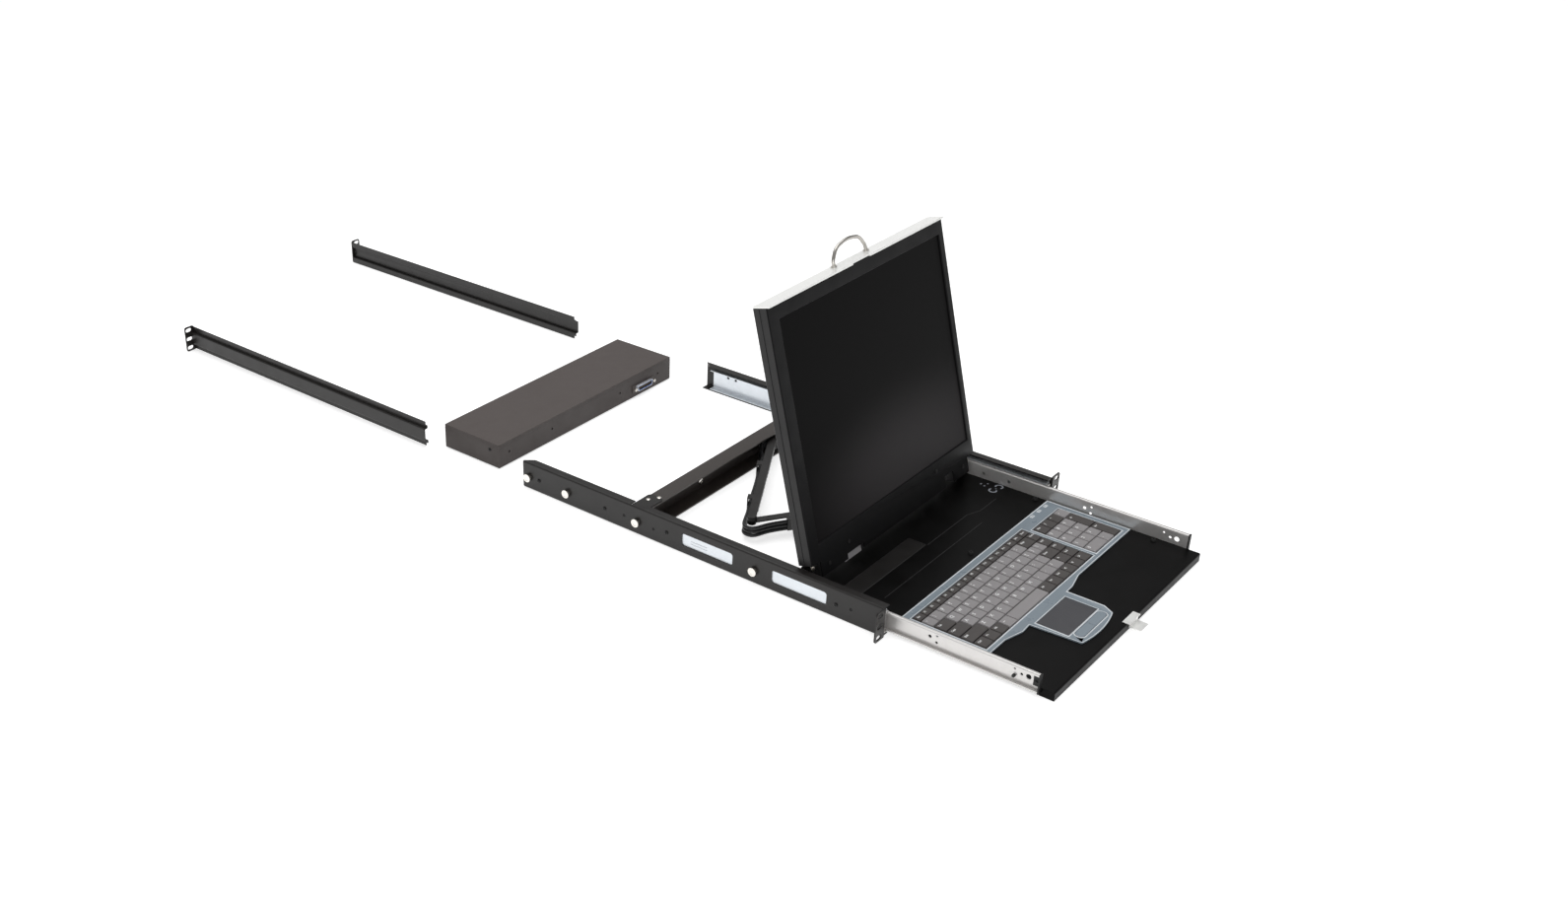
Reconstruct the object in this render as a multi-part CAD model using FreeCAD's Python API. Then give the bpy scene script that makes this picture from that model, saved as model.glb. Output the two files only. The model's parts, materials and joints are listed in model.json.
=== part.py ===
# Rackmount console drawer with a folding screen, drawn as it is unpacked:
# the drawer pulled out, the screen open, the rear rails and the switch module drawn back.
# X is to the right, +Y goes into the rack, +Z is up. Sizes are in millimetres.
# While modelling, Y = 0 is the face of the front ears and Z = 0 is their lower edge.
# Saving lowers everything by half a rack unit's height, to the middle of the front slots.
import FreeCAD, Part
import math
import os

Vector = FreeCAD.Vector

# Rack standard
PANEL_HEIGHT = 43.66
EAR_HALF_WIDTH = 241.3
SLOT_X = 232.55
SLOT_PITCH = 15.875
SLOT_LENGTH = 12.0
SLOT_WIDTH = 6.8
EAR_SHEET = 2.0

# Side rails
RAIL_SHEET = 1.5
RAIL_FACE = 222.0
RAIL_TOP = 42.6
RAIL_LENGTH = 610.9
RAIL_FLANGE_EDGE = 209.0
RAIL_BEND = 1.0
STUD_Y = (199.5, 398.1, 526.2, 600.3)
STUD_Z = 19.1
STUD_RADIUS = 6.25
STUD_PROUD = 5.0
WINDOWS_Y = ((86.2, 171.5), (234.5, 319.5))
WINDOW_Z = (12.6, 31.1)
RAIL_SCREWS = ((71.6, 19.3), (345.9, 22.0), (456.3, 19.4), (580.4, 19.9))
RAIL_HOLES = ((49.0, 21.4), (368.3, 19.0), (420.6, 21.6))

# Telescopic slides
OUTER_SHEET = 1.2
OUTER_Y = (5.0, 597.0)
OUTER_Z = (1.8, 35.4)
OUTER_LIP = 209.5
MIDDLE_SHEET = 1.0
MIDDLE_FACE = 217.5
MIDDLE_Y = (2.0, 402.0)
MIDDLE_Z = (3.4, 33.8)
MIDDLE_LIP = 209.8
INNER_SHEET = 1.2
INNER_FACE = 207.4
INNER_Y = (-206.0, 138.0)
INNER_Z = (4.8, 32.4)
INNER_LIP = 213.5
RACE_LIP = 3.2

# Tray
TRAY_HALF = 207.4
TRAY_SHEET = 1.2
TRAY_FRONT = -225.9
TRAY_REAR = 143.5
DECK_TOP = 12.1
LIP_BOTTOM = 0.2
FLANGE_BOTTOM = 2.0

# Keyboard
KEY_UNIT = 19.05
KEYS_LEFT = -179.8
KEYPAD_LEFT = 116.3
ROW_EDGES = (-15.0, -27.5, -45.6, -63.9, -82.5, -101.1, -119.4)
KEYPAD_REAR = -26.4
KEY_GAP = 0.9
KEY_BASE = 11.6
KEY_TOP = 15.4
KEY_TAPER = 1.3
KEY_TRAVEL = 2.0
STEM_SIDE = 3.6
STEM_BOTTOM = 7.8
STEM_HOLE = 4.6
KEY_PLATE_Z = (8.6, 9.4)
BEZEL_X = (-193.0, 204.0)
BEZEL_Y = (-127.8, -2.8)
BEZEL_TOP = 14.3
# Rounded corners of the touchpad tongue as (x, y, radius)
TONGUE_CORNERS = ((-92.8, -203.3, 2.5), (-5.3, -201.9, 5.0), (3.6, -186.7, 8.0))
PAN_BOTTOM = 3.5
PAN_WALL = 1.5
TOUCHPAD_X = (-89.2, -9.5)
TOUCHPAD_Y = (-183.3, -138.6)
BUTTONS_X = (-82.6, -11.4)
BUTTONS_Y = (-199.2, -185.8)
BUTTON_SPLIT = -47.0
LAMPS_X = (150.0, 169.6, 188.5)
PAN_RIGHT = -9.5

# Lid, in its own frame: x across, u up the slope of the open screen, n behind the screen face
LID_FOOT_Y = 106.39
LID_LEAN = 15.02
LID_HALF = 206.6
LID_U = (28.0, 397.0)
BEZEL_N = (0.0, 2.0)
FRAME_N = (2.0, 12.6)
SHELL_N = (12.6, 22.2)
SHELL_WALL = 1.5
FRAME_WALL = 4.0
SCREEN_X = (-184.9, 194.5)
SCREEN_U = (74.9, 376.5)
PANEL_X = (-190.2, 199.8)
PANEL_U = (63.7, 387.7)
PANEL_N = (2.0, 11.0)
FRONT_PANEL_N = (-4.0, 22.0)
FRONT_PANEL_THICK = 2.5
HINGE_U = 39.9
HINGE_N = 17.4
HINGE_PIN_RADIUS = 3.0
HINGE_CLEARANCE = 0.06
HINGE_NOTCH_X = (188.0, 208.0)
HINGE_NOTCH_U = 50.5
HINGE_LEAF_X = (197.0, 200.0)
HINGE_PIN_END = 205.4
SPRING_WASHER = (5.6, 1.0)
HINGE_NUT = (5.2, 4.2)
HANDLE_FOOT_X = 38.0
HANDLE_N = 14.0
HANDLE_RISE = 29.5
HANDLE_RADIUS = 2.6

# Crossbar and cable arm
BAR_Y = (384.0, 411.0)
BAR_Z = (1.0, 40.0)
BAR_SHEET = 2.0
BAR_HALF = 208.4
NOTCH_Y = (384.5, 410.5)
ARM_BASE_Y = 395.0
ELBOW_X = -125.0
ELBOW_Y = 272.8
REAR_LINK_TURN = 28.3
TRAY_PIVOT_Y = 170.5
LINK_WIDTH = 12.0
LINK_SHEET = 2.0
REAR_LINK_Z = 31.0
FRONT_LINK_Z = 24.0
CABLE_RADIUS = 2.6
CABLE_Z = (10.0, 15.5, 21.0)
CABLE_OFFSET = 9.5
LEAD_START = 34.0
REAR_LEAD_END = 62.0
FRONT_LEAD_END = 40.0

# Rear rails
REAR_RAIL_LENGTH = 569.6
REAR_RAIL_FRONT_LEFT = 807.4
REAR_RAIL_FRONT_RIGHT = 896.4
REAR_RAIL_INNER = 222.4
REAR_RAIL_WEB = 227.9
REAR_RAIL_Z = (1.2, 41.2)
REAR_CHANNEL_Z = (12.2, 31.0)

# Switch module
MODULE_X = (-207.25, 201.25)
MODULE_Y = (673.4, 785.2)
MODULE_Z = (1.8, 40.2)
MODULE_SHEET = 1.2
COVER_SKIRT = 5.0
MODULE_HOLES_X = (-184.4, -88.5, 73.6, 169.3)
MODULE_HOLE_Z = 21.7
CONNECTOR_X = 131.0
CONNECTOR_Z = 16.0
JACK_SPACING = 47.04
PLUG_HALF = (20.7, 6.0)
PLUG_REACH = 5.4
SOCKET_HALF = (19.0, 4.3)
# Each rear port as (x0, x1, z0, z1)
MODULE_PORTS = (
    (-180.0, -164.0, 9.0, 24.0),
    (-150.0, -134.0, 9.0, 24.0),
    (-110.0, -79.0, 10.0, 22.5),
    (-60.0, -29.0, 10.0, 22.5),
    (120.0, 148.0, 8.0, 28.0),
)


def box(x0, x1, y0, y1, z0, z1):
    return Part.makeBox(x1 - x0, y1 - y0, z1 - z0, Vector(x0, y0, z0))


def cylinder(radius, start, direction, length):
    return Part.makeCylinder(radius, length, Vector(*start), Vector(*direction))


def fuse(shapes):
    whole = shapes[0].multiFuse(shapes[1:])
    return whole.removeSplitter()


def mirror_x(shape):
    return shape.mirror(Vector(0, 0, 0), Vector(1, 0, 0))


def both_sides(shapes):
    return shapes + [mirror_x(shape) for shape in shapes]


def save(node, shapes):
    """Lower the finished solids to the part's origin and write them as one file."""
    solids = [solid for shape in shapes for solid in shape.Solids]
    group = Part.makeCompound(solids)
    group.translate(Vector(0, 0, -PANEL_HEIGHT / 2))
    if not group.isValid():
        raise ValueError(node + " is not valid")
    group.exportStep("parts/" + node + ".step")
    print(node, len(solids), "solids", round(group.Volume / 1000, 2), "cm3")


def polygon(points, place):
    corners = [place(*point) for point in points]
    return Part.Face(Part.makePolygon(corners + corners[:1]))


def rectangle(x0, x1, y0, y1, z):
    corners = ((x0, y0), (x1, y0), (x1, y1), (x0, y1), (x0, y0))
    return Part.makePolygon([Vector(x, y, z) for x, y in corners])


def slab(points, z0, z1):
    """A flat plate from an outline of (x, y) points."""
    face = polygon(points, lambda x, y: Vector(x, y, z0))
    return face.extrude(Vector(0, 0, z1 - z0))


def rounded_outline(x0, x1, y0, y1, radius, z):
    """A closed wire round a rectangle whose corners are arcs."""
    edges = []
    corners = ((x1, y0, 0, -1), (x1, y1, 1, 0), (x0, y1, 0, 1), (x0, y0, -1, 0))
    last = Vector(x0 + radius, y0, z)
    for x, y, out_x, out_y in corners:
        centre = Vector(x - radius if x == x1 else x + radius, y + radius if y == y0 else y - radius, z)
        start = centre + Vector(out_x, out_y, 0) * radius
        end = centre + Vector(-out_y, out_x, 0) * radius
        middle = centre + Vector(out_x - out_y, out_y + out_x, 0).normalize() * radius
        edges.append(Part.LineSegment(last, start).toShape())
        edges.append(Part.Arc(start, middle, end).toShape())
        last = end
    return Part.Wire(edges)


def rounded_slab(x0, x1, y0, y1, z0, z1, radius):
    return Part.Face(rounded_outline(x0, x1, y0, y1, radius, z0)).extrude(Vector(0, 0, z1 - z0))


def window_cutter(y0, y1, z0, z1, x0, x1, radius):
    """A rounded opening that runs along X, through a wall that stands across it."""
    plate = rounded_slab(z0, z1, y0, y1, 0, x1 - x0, radius)
    plate.rotate(Vector(0, 0, 0), Vector(0, 1, 0), -90)
    plate.translate(Vector(x1, 0, 0))
    return plate


def slot_cutter(x, z, y0, y1):
    """A horizontal slot with round ends that runs along Y."""
    half = (SLOT_LENGTH - SLOT_WIDTH) / 2
    radius = SLOT_WIDTH / 2
    middle = box(x - half, x + half, y0, y1, z - radius, z + radius)
    ends = [cylinder(radius, (x + side * half, y0, z), (0, 1, 0), y1 - y0) for side in (-1, 1)]
    return fuse([middle] + ends)


def bent_section(path, sheet, bend, place):
    """A face of even thickness along a bent path: the sheet lies to the left of the path.

    Each corner is an arc of the bend radius on its inner side."""
    count = len(path)
    right_side = []
    left_side = []
    directions = []
    for i in range(count - 1):
        dx, dy = path[i + 1][0] - path[i][0], path[i + 1][1] - path[i][1]
        length = math.hypot(dx, dy)
        directions.append((dx / length, dy / length))
    first, last = directions[0], directions[-1]
    right_side.append([path[0]])
    left_side.append([(path[0][0] - first[1] * sheet, path[0][1] + first[0] * sheet)])
    for i in range(1, count - 1):
        (ax, ay), (bx, by) = directions[i - 1], directions[i]
        turn = math.atan2(ax * by - ay * bx, ax * bx + ay * by)
        side = 1 if turn > 0 else -1
        radius = bend + sheet if turn > 0 else bend
        trim = radius * math.tan(abs(turn) / 2)
        px, py = path[i]
        start = (px - ax * trim, py - ay * trim)
        end = (px + bx * trim, py + by * trim)
        centre = (start[0] - side * ay * radius, start[1] + side * ax * radius)
        reach = math.hypot(px - centre[0], py - centre[1])
        out = ((px - centre[0]) / reach, (py - centre[1]) / reach)
        other = radius - side * sheet
        right_side.append([start, (centre[0] + out[0] * radius, centre[1] + out[1] * radius), end])
        scale = other / radius
        left_side.append(
            [
                (centre[0] + (start[0] - centre[0]) * scale, centre[1] + (start[1] - centre[1]) * scale),
                (centre[0] + out[0] * other, centre[1] + out[1] * other),
                (centre[0] + (end[0] - centre[0]) * scale, centre[1] + (end[1] - centre[1]) * scale),
            ]
        )
    right_side.append([path[-1]])
    left_side.append([(path[-1][0] - last[1] * sheet, path[-1][1] + last[0] * sheet)])
    outline = right_side + [stretch[::-1] for stretch in left_side[::-1]]
    edges = []
    for i, stretch in enumerate(outline):
        points = [place(*point) for point in stretch]
        if len(points) == 3:
            edges.append(Part.Arc(*points).toShape())
        following = place(*outline[(i + 1) % len(outline)][0])
        edges.append(Part.LineSegment(points[-1], following).toShape())
    return Part.Face(Part.Wire(edges))


def bent_along_y(path, sheet, bend, y0, y1):
    face = bent_section(path, sheet, bend, lambda x, z: Vector(x, y0, z))
    return face.extrude(Vector(0, y1 - y0, 0))


def bent_along_x(path, sheet, bend, x0, x1):
    face = bent_section(path, sheet, bend, lambda y, z: Vector(x0, y, z))
    return face.extrude(Vector(x1 - x0, 0, 0))


def rounded_path(points):
    """A smooth path: straight runs joined by tangent arcs as large as the runs allow."""
    edges = []
    start = points[0]
    for i in range(1, len(points) - 1):
        before, here, after = points[i - 1], points[i], points[i + 1]
        into, out = (here - before), (after - here)
        shorter = min(into.Length, out.Length)
        into.normalize()
        out.normalize()
        half_turn = into.getAngle(out) / 2
        trim = 0.45 * shorter
        arc_start, arc_end = here - into * trim, here + out * trim
        inward = (out - into).normalize()
        radius = trim / math.tan(half_turn)
        centre = here + inward * (trim / math.sin(half_turn))
        arc_middle = centre - inward * radius
        edges.append(Part.LineSegment(start, arc_start).toShape())
        edges.append(Part.Arc(arc_start, arc_middle, arc_end).toShape())
        start = arc_end
    edges.append(Part.LineSegment(start, points[-1]).toShape())
    return Part.Wire(edges)


def tube(wire, radius):
    start = wire.Edges[0].valueAt(wire.Edges[0].FirstParameter)
    along = wire.Edges[0].tangentAt(wire.Edges[0].FirstParameter)
    ring = Part.Wire(Part.makeCircle(radius, start, along))
    return wire.makePipeShell([ring], True, False)


# Side rails, studs, screws and outer slide members


def ear(sign):
    """The drilled front ear of one rail, with its outer corners cut off."""
    inner, outer = RAIL_FACE - RAIL_SHEET, EAR_HALF_WIDTH
    cut = 2.5
    outline = (
        (inner, 0),
        (outer - cut, 0),
        (outer, cut),
        (outer, PANEL_HEIGHT - cut),
        (outer - cut, PANEL_HEIGHT),
        (inner, PANEL_HEIGHT),
    )
    face = polygon(outline, lambda x, z: Vector(x, 0, z))
    plate = face.extrude(Vector(0, EAR_SHEET, 0))
    middle = PANEL_HEIGHT / 2
    for z in (middle - SLOT_PITCH, middle, middle + SLOT_PITCH):
        plate = plate.cut(slot_cutter(SLOT_X, z, -1, EAR_SHEET + 1))
    return plate if sign > 0 else mirror_x(plate)


def side_rail():
    """The right rail: a channel open towards the drawer, with an ear at its front."""
    path = (
        (RAIL_FLANGE_EDGE, 0),
        (RAIL_FACE, 0),
        (RAIL_FACE, RAIL_TOP),
        (RAIL_FLANGE_EDGE, RAIL_TOP),
    )
    rail = bent_along_y(path, RAIL_SHEET, RAIL_BEND, EAR_SHEET, RAIL_LENGTH)
    cutters = []
    for y0, y1 in WINDOWS_Y:
        cutters.append(window_cutter(y0, y1, WINDOW_Z[0], WINDOW_Z[1], RAIL_FACE - 2, RAIL_FACE + 1, 4))
    for y, z in RAIL_HOLES:
        cutters.append(cylinder(2.2, (RAIL_FACE - 2, y, z), (1, 0, 0), 4))
    web = RAIL_FACE - RAIL_SHEET
    cutters.append(box(RAIL_FLANGE_EDGE - 1, web, NOTCH_Y[0], NOTCH_Y[1], RAIL_TOP - 3, RAIL_TOP + 1))
    slant = 14
    beyond = RAIL_LENGTH + 5
    corner = (
        (RAIL_FLANGE_EDGE - 1, RAIL_LENGTH - slant),
        (RAIL_FACE - 2.6, RAIL_LENGTH),
        (RAIL_FACE - 2.6, beyond),
        (RAIL_FLANGE_EDGE - 1, beyond),
    )
    cutters.append(slab(corner, RAIL_TOP - 3, RAIL_TOP + 1))
    rail = rail.cut(Part.makeCompound(cutters))
    return fuse([rail, ear(1)])


def guide_stud(y):
    """A shouldered stud riveted through the rail's web, with a dished head."""
    face = RAIL_FACE
    shank = cylinder(3.0, (face, y, STUD_Z), (1, 0, 0), STUD_PROUD - 1.6)
    head = cylinder(STUD_RADIUS, (face + STUD_PROUD - 2.4, y, STUD_Z), (1, 0, 0), 2.4)
    dish = cylinder(STUD_RADIUS - 2.4, (face + STUD_PROUD - 0.5, y, STUD_Z), (1, 0, 0), 1)
    shoulder = cylinder(4.6, (face, y, STUD_Z), (1, 0, 0), 1.4)
    return fuse([shank, head, shoulder]).cut(dish)


def pan_head_screw(start, direction, radius, height):
    """A low screw head with a chamfered rim and a hexagonal-size recess, its shank left out."""
    along = Vector(*direction)
    foot = Vector(*start)
    rim = height * 0.55
    base = Part.makeCylinder(radius, rim, foot, along)
    crown = Part.makeCone(radius, radius * 0.62, height - rim, foot + along * rim, along)
    recess = Part.makeCylinder(radius * 0.32, height * 0.5, foot + along * (height * 0.6), along)
    return base.fuse(crown).removeSplitter().cut(recess)


def outer_slide():
    path = (
        (OUTER_LIP, OUTER_Z[0]),
        (RAIL_FACE - RAIL_SHEET, OUTER_Z[0]),
        (RAIL_FACE - RAIL_SHEET, OUTER_Z[1]),
        (OUTER_LIP, OUTER_Z[1]),
    )
    member = bent_along_y(path, OUTER_SHEET, 0.8, OUTER_Y[0], OUTER_Y[1])
    web = RAIL_FACE - RAIL_SHEET - 2
    cutters = [cylinder(2.4, (web, y, 26.7), (1, 0, 0), 4) for y in (553.0, 568.0)]
    bracket_y, bracket_z = (277.6, 304.5), (18.6, 22.7)
    for z in bracket_z:
        cutters.append(box(web, web + 4, bracket_y[0], bracket_y[1], z, z + 0.5))
    cutters.append(box(web, web + 4, bracket_y[1], bracket_y[1] + 0.5, bracket_z[0], bracket_z[1] + 0.5))
    return member.cut(Part.makeCompound(cutters))


def middle_slide():
    path = (
        (MIDDLE_LIP, MIDDLE_Z[0]),
        (MIDDLE_FACE, MIDDLE_Z[0]),
        (MIDDLE_FACE, MIDDLE_Z[1]),
        (MIDDLE_LIP, MIDDLE_Z[1]),
    )
    member = bent_along_y(path, MIDDLE_SHEET, 0.8, MIDDLE_Y[0], MIDDLE_Y[1])
    web = MIDDLE_FACE - 2
    openings = [
        window_cutter(y, y + 30, 13, 24, web, web + 4, 5) for y in (60.0, 180.0, 300.0)
    ]
    return member.cut(Part.makeCompound(openings))


def inner_slide():
    path = (
        (INNER_LIP, INNER_Z[1] - RACE_LIP),
        (INNER_LIP, INNER_Z[1]),
        (INNER_FACE, INNER_Z[1]),
        (INNER_FACE, INNER_Z[0]),
        (INNER_LIP, INNER_Z[0]),
        (INNER_LIP, INNER_Z[0] + RACE_LIP),
    )
    member = bent_along_y(path, INNER_SHEET, 0.8, INNER_Y[0], INNER_Y[1])
    holes = ((-57.2, 20.5, 2.4), (-66.9, 24.7, 1.6), (-66.9, 15.1, 1.9), (-172.5, 24.7, 1.5))
    holes = holes + ((-181.9, 20.4, 1.9), (-191.1, 20.7, 3.6), (60.0, 20.5, 2.4), (100.0, 20.5, 2.4))
    cutters = [cylinder(radius, (INNER_FACE - 1, y, z), (1, 0, 0), 4) for y, z, radius in holes]
    return member.cut(Part.makeCompound(cutters))


def slide_end_bracket():
    """The black end stop at the front of the right inner member, with its rivet and pin."""
    face = INNER_FACE + INNER_SHEET
    stop = box(INNER_FACE, INNER_LIP, INNER_Y[0] - 2.0, INNER_Y[0], INNER_Z[0], INNER_Z[1])
    tongue = box(face, face + 1.2, INNER_Y[0], INNER_Y[0] + 8, 13, 30)
    rivet = cylinder(1.8, (face + 1.2, -201.5, 18.9), (1, 0, 0), 1.6)
    body = fuse([stop, tongue, rivet])
    stud = cylinder(2.2, (face, -172.8, 15.3), (1, 0, 0), 3.2)
    return [body, stud]


# Drawer tray and what stands on it


def keyboard_pan_areas(shrink):
    """The two joined areas under the keyboard and the touchpad, as (x0, x1, y0, y1)."""
    return (
        (-188 + shrink, 199 - shrink, -123.2 + shrink, -7 - shrink),
        (-87 + shrink, PAN_RIGHT - shrink, -202 + shrink, -122 - shrink),
    )


def drawer_tray():
    front_path = (
        (TRAY_FRONT, LIP_BOTTOM),
        (TRAY_FRONT, DECK_TOP),
        (TRAY_REAR, DECK_TOP),
        (TRAY_REAR, FLANGE_BOTTOM),
    )
    reverse = tuple((y, z) for y, z in front_path[::-1])
    deck = bent_along_x(reverse, TRAY_SHEET, 0.8, -TRAY_HALF, TRAY_HALF)
    hem = box(-TRAY_HALF, TRAY_HALF, TRAY_FRONT, TRAY_FRONT + 8, LIP_BOTTOM, LIP_BOTTOM + TRAY_SHEET)
    flange = box(TRAY_HALF - TRAY_SHEET, TRAY_HALF, INNER_Y[0], TRAY_REAR - 2, FLANGE_BOTTOM, DECK_TOP - 0.5)
    end = box(TRAY_HALF - TRAY_SHEET, TRAY_HALF, TRAY_FRONT + 0.8, INNER_Y[0], LIP_BOTTOM, DECK_TOP - 0.5)
    ribs = [box(-180, 180, y, y + 1.2, 3.0, DECK_TOP - 1.0) for y in (30.0, 100.0)]
    tray = fuse([deck, hem] + both_sides([flange, end]) + ribs)
    cutters = [box(x0, x1, y0, y1, 8, 14) for x0, x1, y0, y1 in keyboard_pan_areas(0)]
    return tray.cut(fuse(cutters))


def keyboard_base():
    """The lower case of the keyboard, a pan that hangs through the deck."""
    outer = fuse([box(x0, x1, y0, y1, PAN_BOTTOM, DECK_TOP) for x0, x1, y0, y1 in keyboard_pan_areas(0.4)])
    inner = fuse(
        [
            box(x0, x1, y0, y1, PAN_BOTTOM + PAN_WALL, DECK_TOP + 1)
            for x0, x1, y0, y1 in keyboard_pan_areas(0.4 + PAN_WALL)
        ]
    )
    return outer.cut(inner)


def bezel_outline():
    """The keyboard's outline: a bar with a rounded tongue for the touchpad."""
    x0, x1 = BEZEL_X
    y0, y1 = BEZEL_Y
    z = DECK_TOP
    before = [(x0, y1), (x0, y0), (-147.0, y0), (-116.4, -135.8), (-97.6, -134.6), (-92.8, -203.3)]
    after = [(-5.3, -201.9), (3.6, -186.7), (3.6, -134.9), (19.7, -134.4), (50.2, y0), (x1, y0), (x1, y1)]
    edges = []
    for a, b in zip(before, before[1:]):
        edges.append(Part.LineSegment(Vector(a[0], a[1], z), Vector(b[0], b[1], z)).toShape())
    low = Vector(-49.8, -208.3, z)
    edges.append(Part.Arc(Vector(-92.8, -203.3, z), low, Vector(-5.3, -201.9, z)).toShape())
    for a, b in zip(after, after[1:]):
        edges.append(Part.LineSegment(Vector(a[0], a[1], z), Vector(b[0], b[1], z)).toShape())
    edges.append(Part.LineSegment(Vector(x1, y1, z), Vector(x0, y1, z)).toShape())
    return Part.Wire(edges)


def keyboard_bezel():
    body = Part.Face(bezel_outline()).extrude(Vector(0, 0, BEZEL_TOP - DECK_TOP))
    for x, y, radius in TONGUE_CORNERS:
        corner = Vector(x, y, (DECK_TOP + BEZEL_TOP) / 2)
        edges = [edge for edge in body.Edges if edge.CenterOfMass.distanceToPoint(corner) < 0.1]
        body = body.makeFillet(radius, edges)
    margin = 0.8
    low, high = DECK_TOP - 1, BEZEL_TOP + 1
    keys_right = KEYS_LEFT + 15 * KEY_UNIT + 2.5
    pad_right = KEYPAD_LEFT + 4 * KEY_UNIT
    front = ROW_EDGES[-1] - margin
    cutters = [
        box(KEYS_LEFT - margin, keys_right, front, ROW_EDGES[0] + margin, low, high),
        box(KEYPAD_LEFT - margin, pad_right + margin, front, KEYPAD_REAR + margin, low, high),
        box(TOUCHPAD_X[0], TOUCHPAD_X[1], TOUCHPAD_Y[0], TOUCHPAD_Y[1], low, high),
        rounded_slab(BUTTONS_X[0], BUTTONS_X[1], BUTTONS_Y[0], BUTTONS_Y[1], low, high, 6.0),
    ]
    for x in LAMPS_X:
        cutters.append(box(x - 2.5, x + 2.5, -9.0, -7.4, BEZEL_TOP - 0.6, high))
    return body.cut(Part.makeCompound(cutters))


def touchpad():
    return box(TOUCHPAD_X[0], TOUCHPAD_X[1], TOUCHPAD_Y[0], TOUCHPAD_Y[1], DECK_TOP, BEZEL_TOP - 0.7)


def touchpad_button(x0, x1, round_left):
    """Half of the button oval: one end is round and the other is straight."""
    left, right = BUTTONS_X
    front, back = BUTTONS_Y
    low, high = 11.4, 14.6
    gap = 0.5
    whole = rounded_slab(left + gap, right - gap, front + gap, back - gap, low, high, 5.5)
    half = whole.common(box(x0, x1, front, back, low, high))
    stem_x = x0 + 20 if round_left else x1 - 20
    stem = box(stem_x - 4, stem_x + 4, -195, -190, PAN_BOTTOM + PAN_WALL + 1.6, low)
    return fuse([half, stem])


# Keys


def key_cap(x0, x1, y0, y1):
    """One key cap: a tapered block on a square stem that goes down through the carrier sheet."""
    half_gap = KEY_GAP / 2
    left, right, front, back = x0 + half_gap, x1 - half_gap, y0 + half_gap, y1 - half_gap
    base = [Vector(x, y, KEY_BASE) for x, y in ((left, front), (right, front), (right, back), (left, back))]
    t, tb = KEY_TAPER, KEY_TAPER * 0.6
    crown = ((left + t, front + t), (right - t, front + t), (right - t, back - tb), (left + t, back - tb))
    top = [Vector(x, y, KEY_TOP) for x, y in crown]
    loops = [base, top]
    for i in range(4):
        j = (i + 1) % 4
        loops.append([base[i], base[j], top[j], top[i]])
    faces = [Part.Face(Part.makePolygon(loop + loop[:1])) for loop in loops]
    cap = Part.Solid(Part.makeShell(faces))
    if cap.Volume < 0:
        cap.reverse()
    x, y = (x0 + x1) / 2, (y0 + y1) / 2
    half = STEM_SIDE / 2
    stem = box(x - half, x + half, y - half, y + half, STEM_BOTTOM, KEY_BASE)
    return cap.fuse(stem)


def row_keys(left, widths, row):
    """Key places of one row: widths in key units, scaled to fill the row."""
    total = 15 * KEY_UNIT
    scale = total / sum(widths)
    places = []
    x = left
    for width in widths:
        places.append((x, x + width * scale, ROW_EDGES[row + 1], ROW_EDGES[row]))
        x += width * scale
    return places


def main_rows():
    """The rows of the main block, back to front, each as a list of key places."""
    return {
        "function_keys": row_keys(KEYS_LEFT, [1.0] * 17, 0),
        "number_row_keys": row_keys(KEYS_LEFT, [0.87] + [1.0] * 12 + [1.28, 0.77], 1),
        "upper_row_keys": row_keys(KEYS_LEFT, [1.43] + [1.02] * 10 + [0.76] * 3 + [0.9], 2),
        "home_row_keys": row_keys(KEYS_LEFT, [1.72] + [1.02] * 9 + [0.86] * 2 + [1.41, 0.9], 3),
        "lower_row_keys": row_keys(KEYS_LEFT, [2.08] + [0.99] * 10 + [1.02, 0.98], 4),
        "bottom_row_keys": row_keys(KEYS_LEFT, [1.0] * 4 + [4.08, 1.09] + [0.97] * 5, 5),
    }


def keypad_places():
    """The number pad: four columns, with two tall keys at the right and a wide one below."""
    columns = [KEYPAD_LEFT + i * KEY_UNIT for i in range(5)]
    rows = [KEYPAD_REAR, *ROW_EDGES[2:]]
    places = [(columns[i], columns[i + 1], rows[1], rows[0]) for i in range(4)]
    for row in range(1, 4):
        places += [(columns[i], columns[i + 1], rows[row + 1], rows[row]) for i in range(3)]
    places.append((columns[3], columns[4], rows[3], rows[1]))
    places.append((columns[3], columns[4], rows[5], rows[3]))
    places.append((columns[0], columns[2], rows[5], rows[4]))
    places.append((columns[2], columns[3], rows[5], rows[4]))
    return places


def key_plate(places):
    """The carrier sheet: every key stem passes through a square hole in it."""
    x0, x1, y0, y1 = keyboard_pan_areas(0.4 + PAN_WALL)[0]
    low, high = KEY_PLATE_Z
    half = STEM_HOLE / 2
    wires = [rectangle(x0, x1, y0, y1, low)]
    for left, right, front, back in places:
        x, y = (left + right) / 2, (front + back) / 2
        wires.append(rectangle(x - half, x + half, y - half, y + half, low))
    face = Part.Face(wires)
    face.validate()
    return face.extrude(Vector(0, 0, high - low))


# Lid


def lid_place(shape):
    """Turn a shape drawn as (x, u, -n) into its place on the open lid."""
    shape.rotate(Vector(0, 0, 0), Vector(1, 0, 0), 90 - LID_LEAN)
    shape.translate(Vector(0, LID_FOOT_Y, 0))
    return shape


def lid_box(x0, x1, u0, u1, n0, n1):
    return box(x0, x1, u0, u1, -n1, -n0)


def lid_cylinder(radius, x, u, n0, n1):
    return cylinder(radius, (x, u, -n1), (0, 0, 1), n1 - n0)


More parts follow.
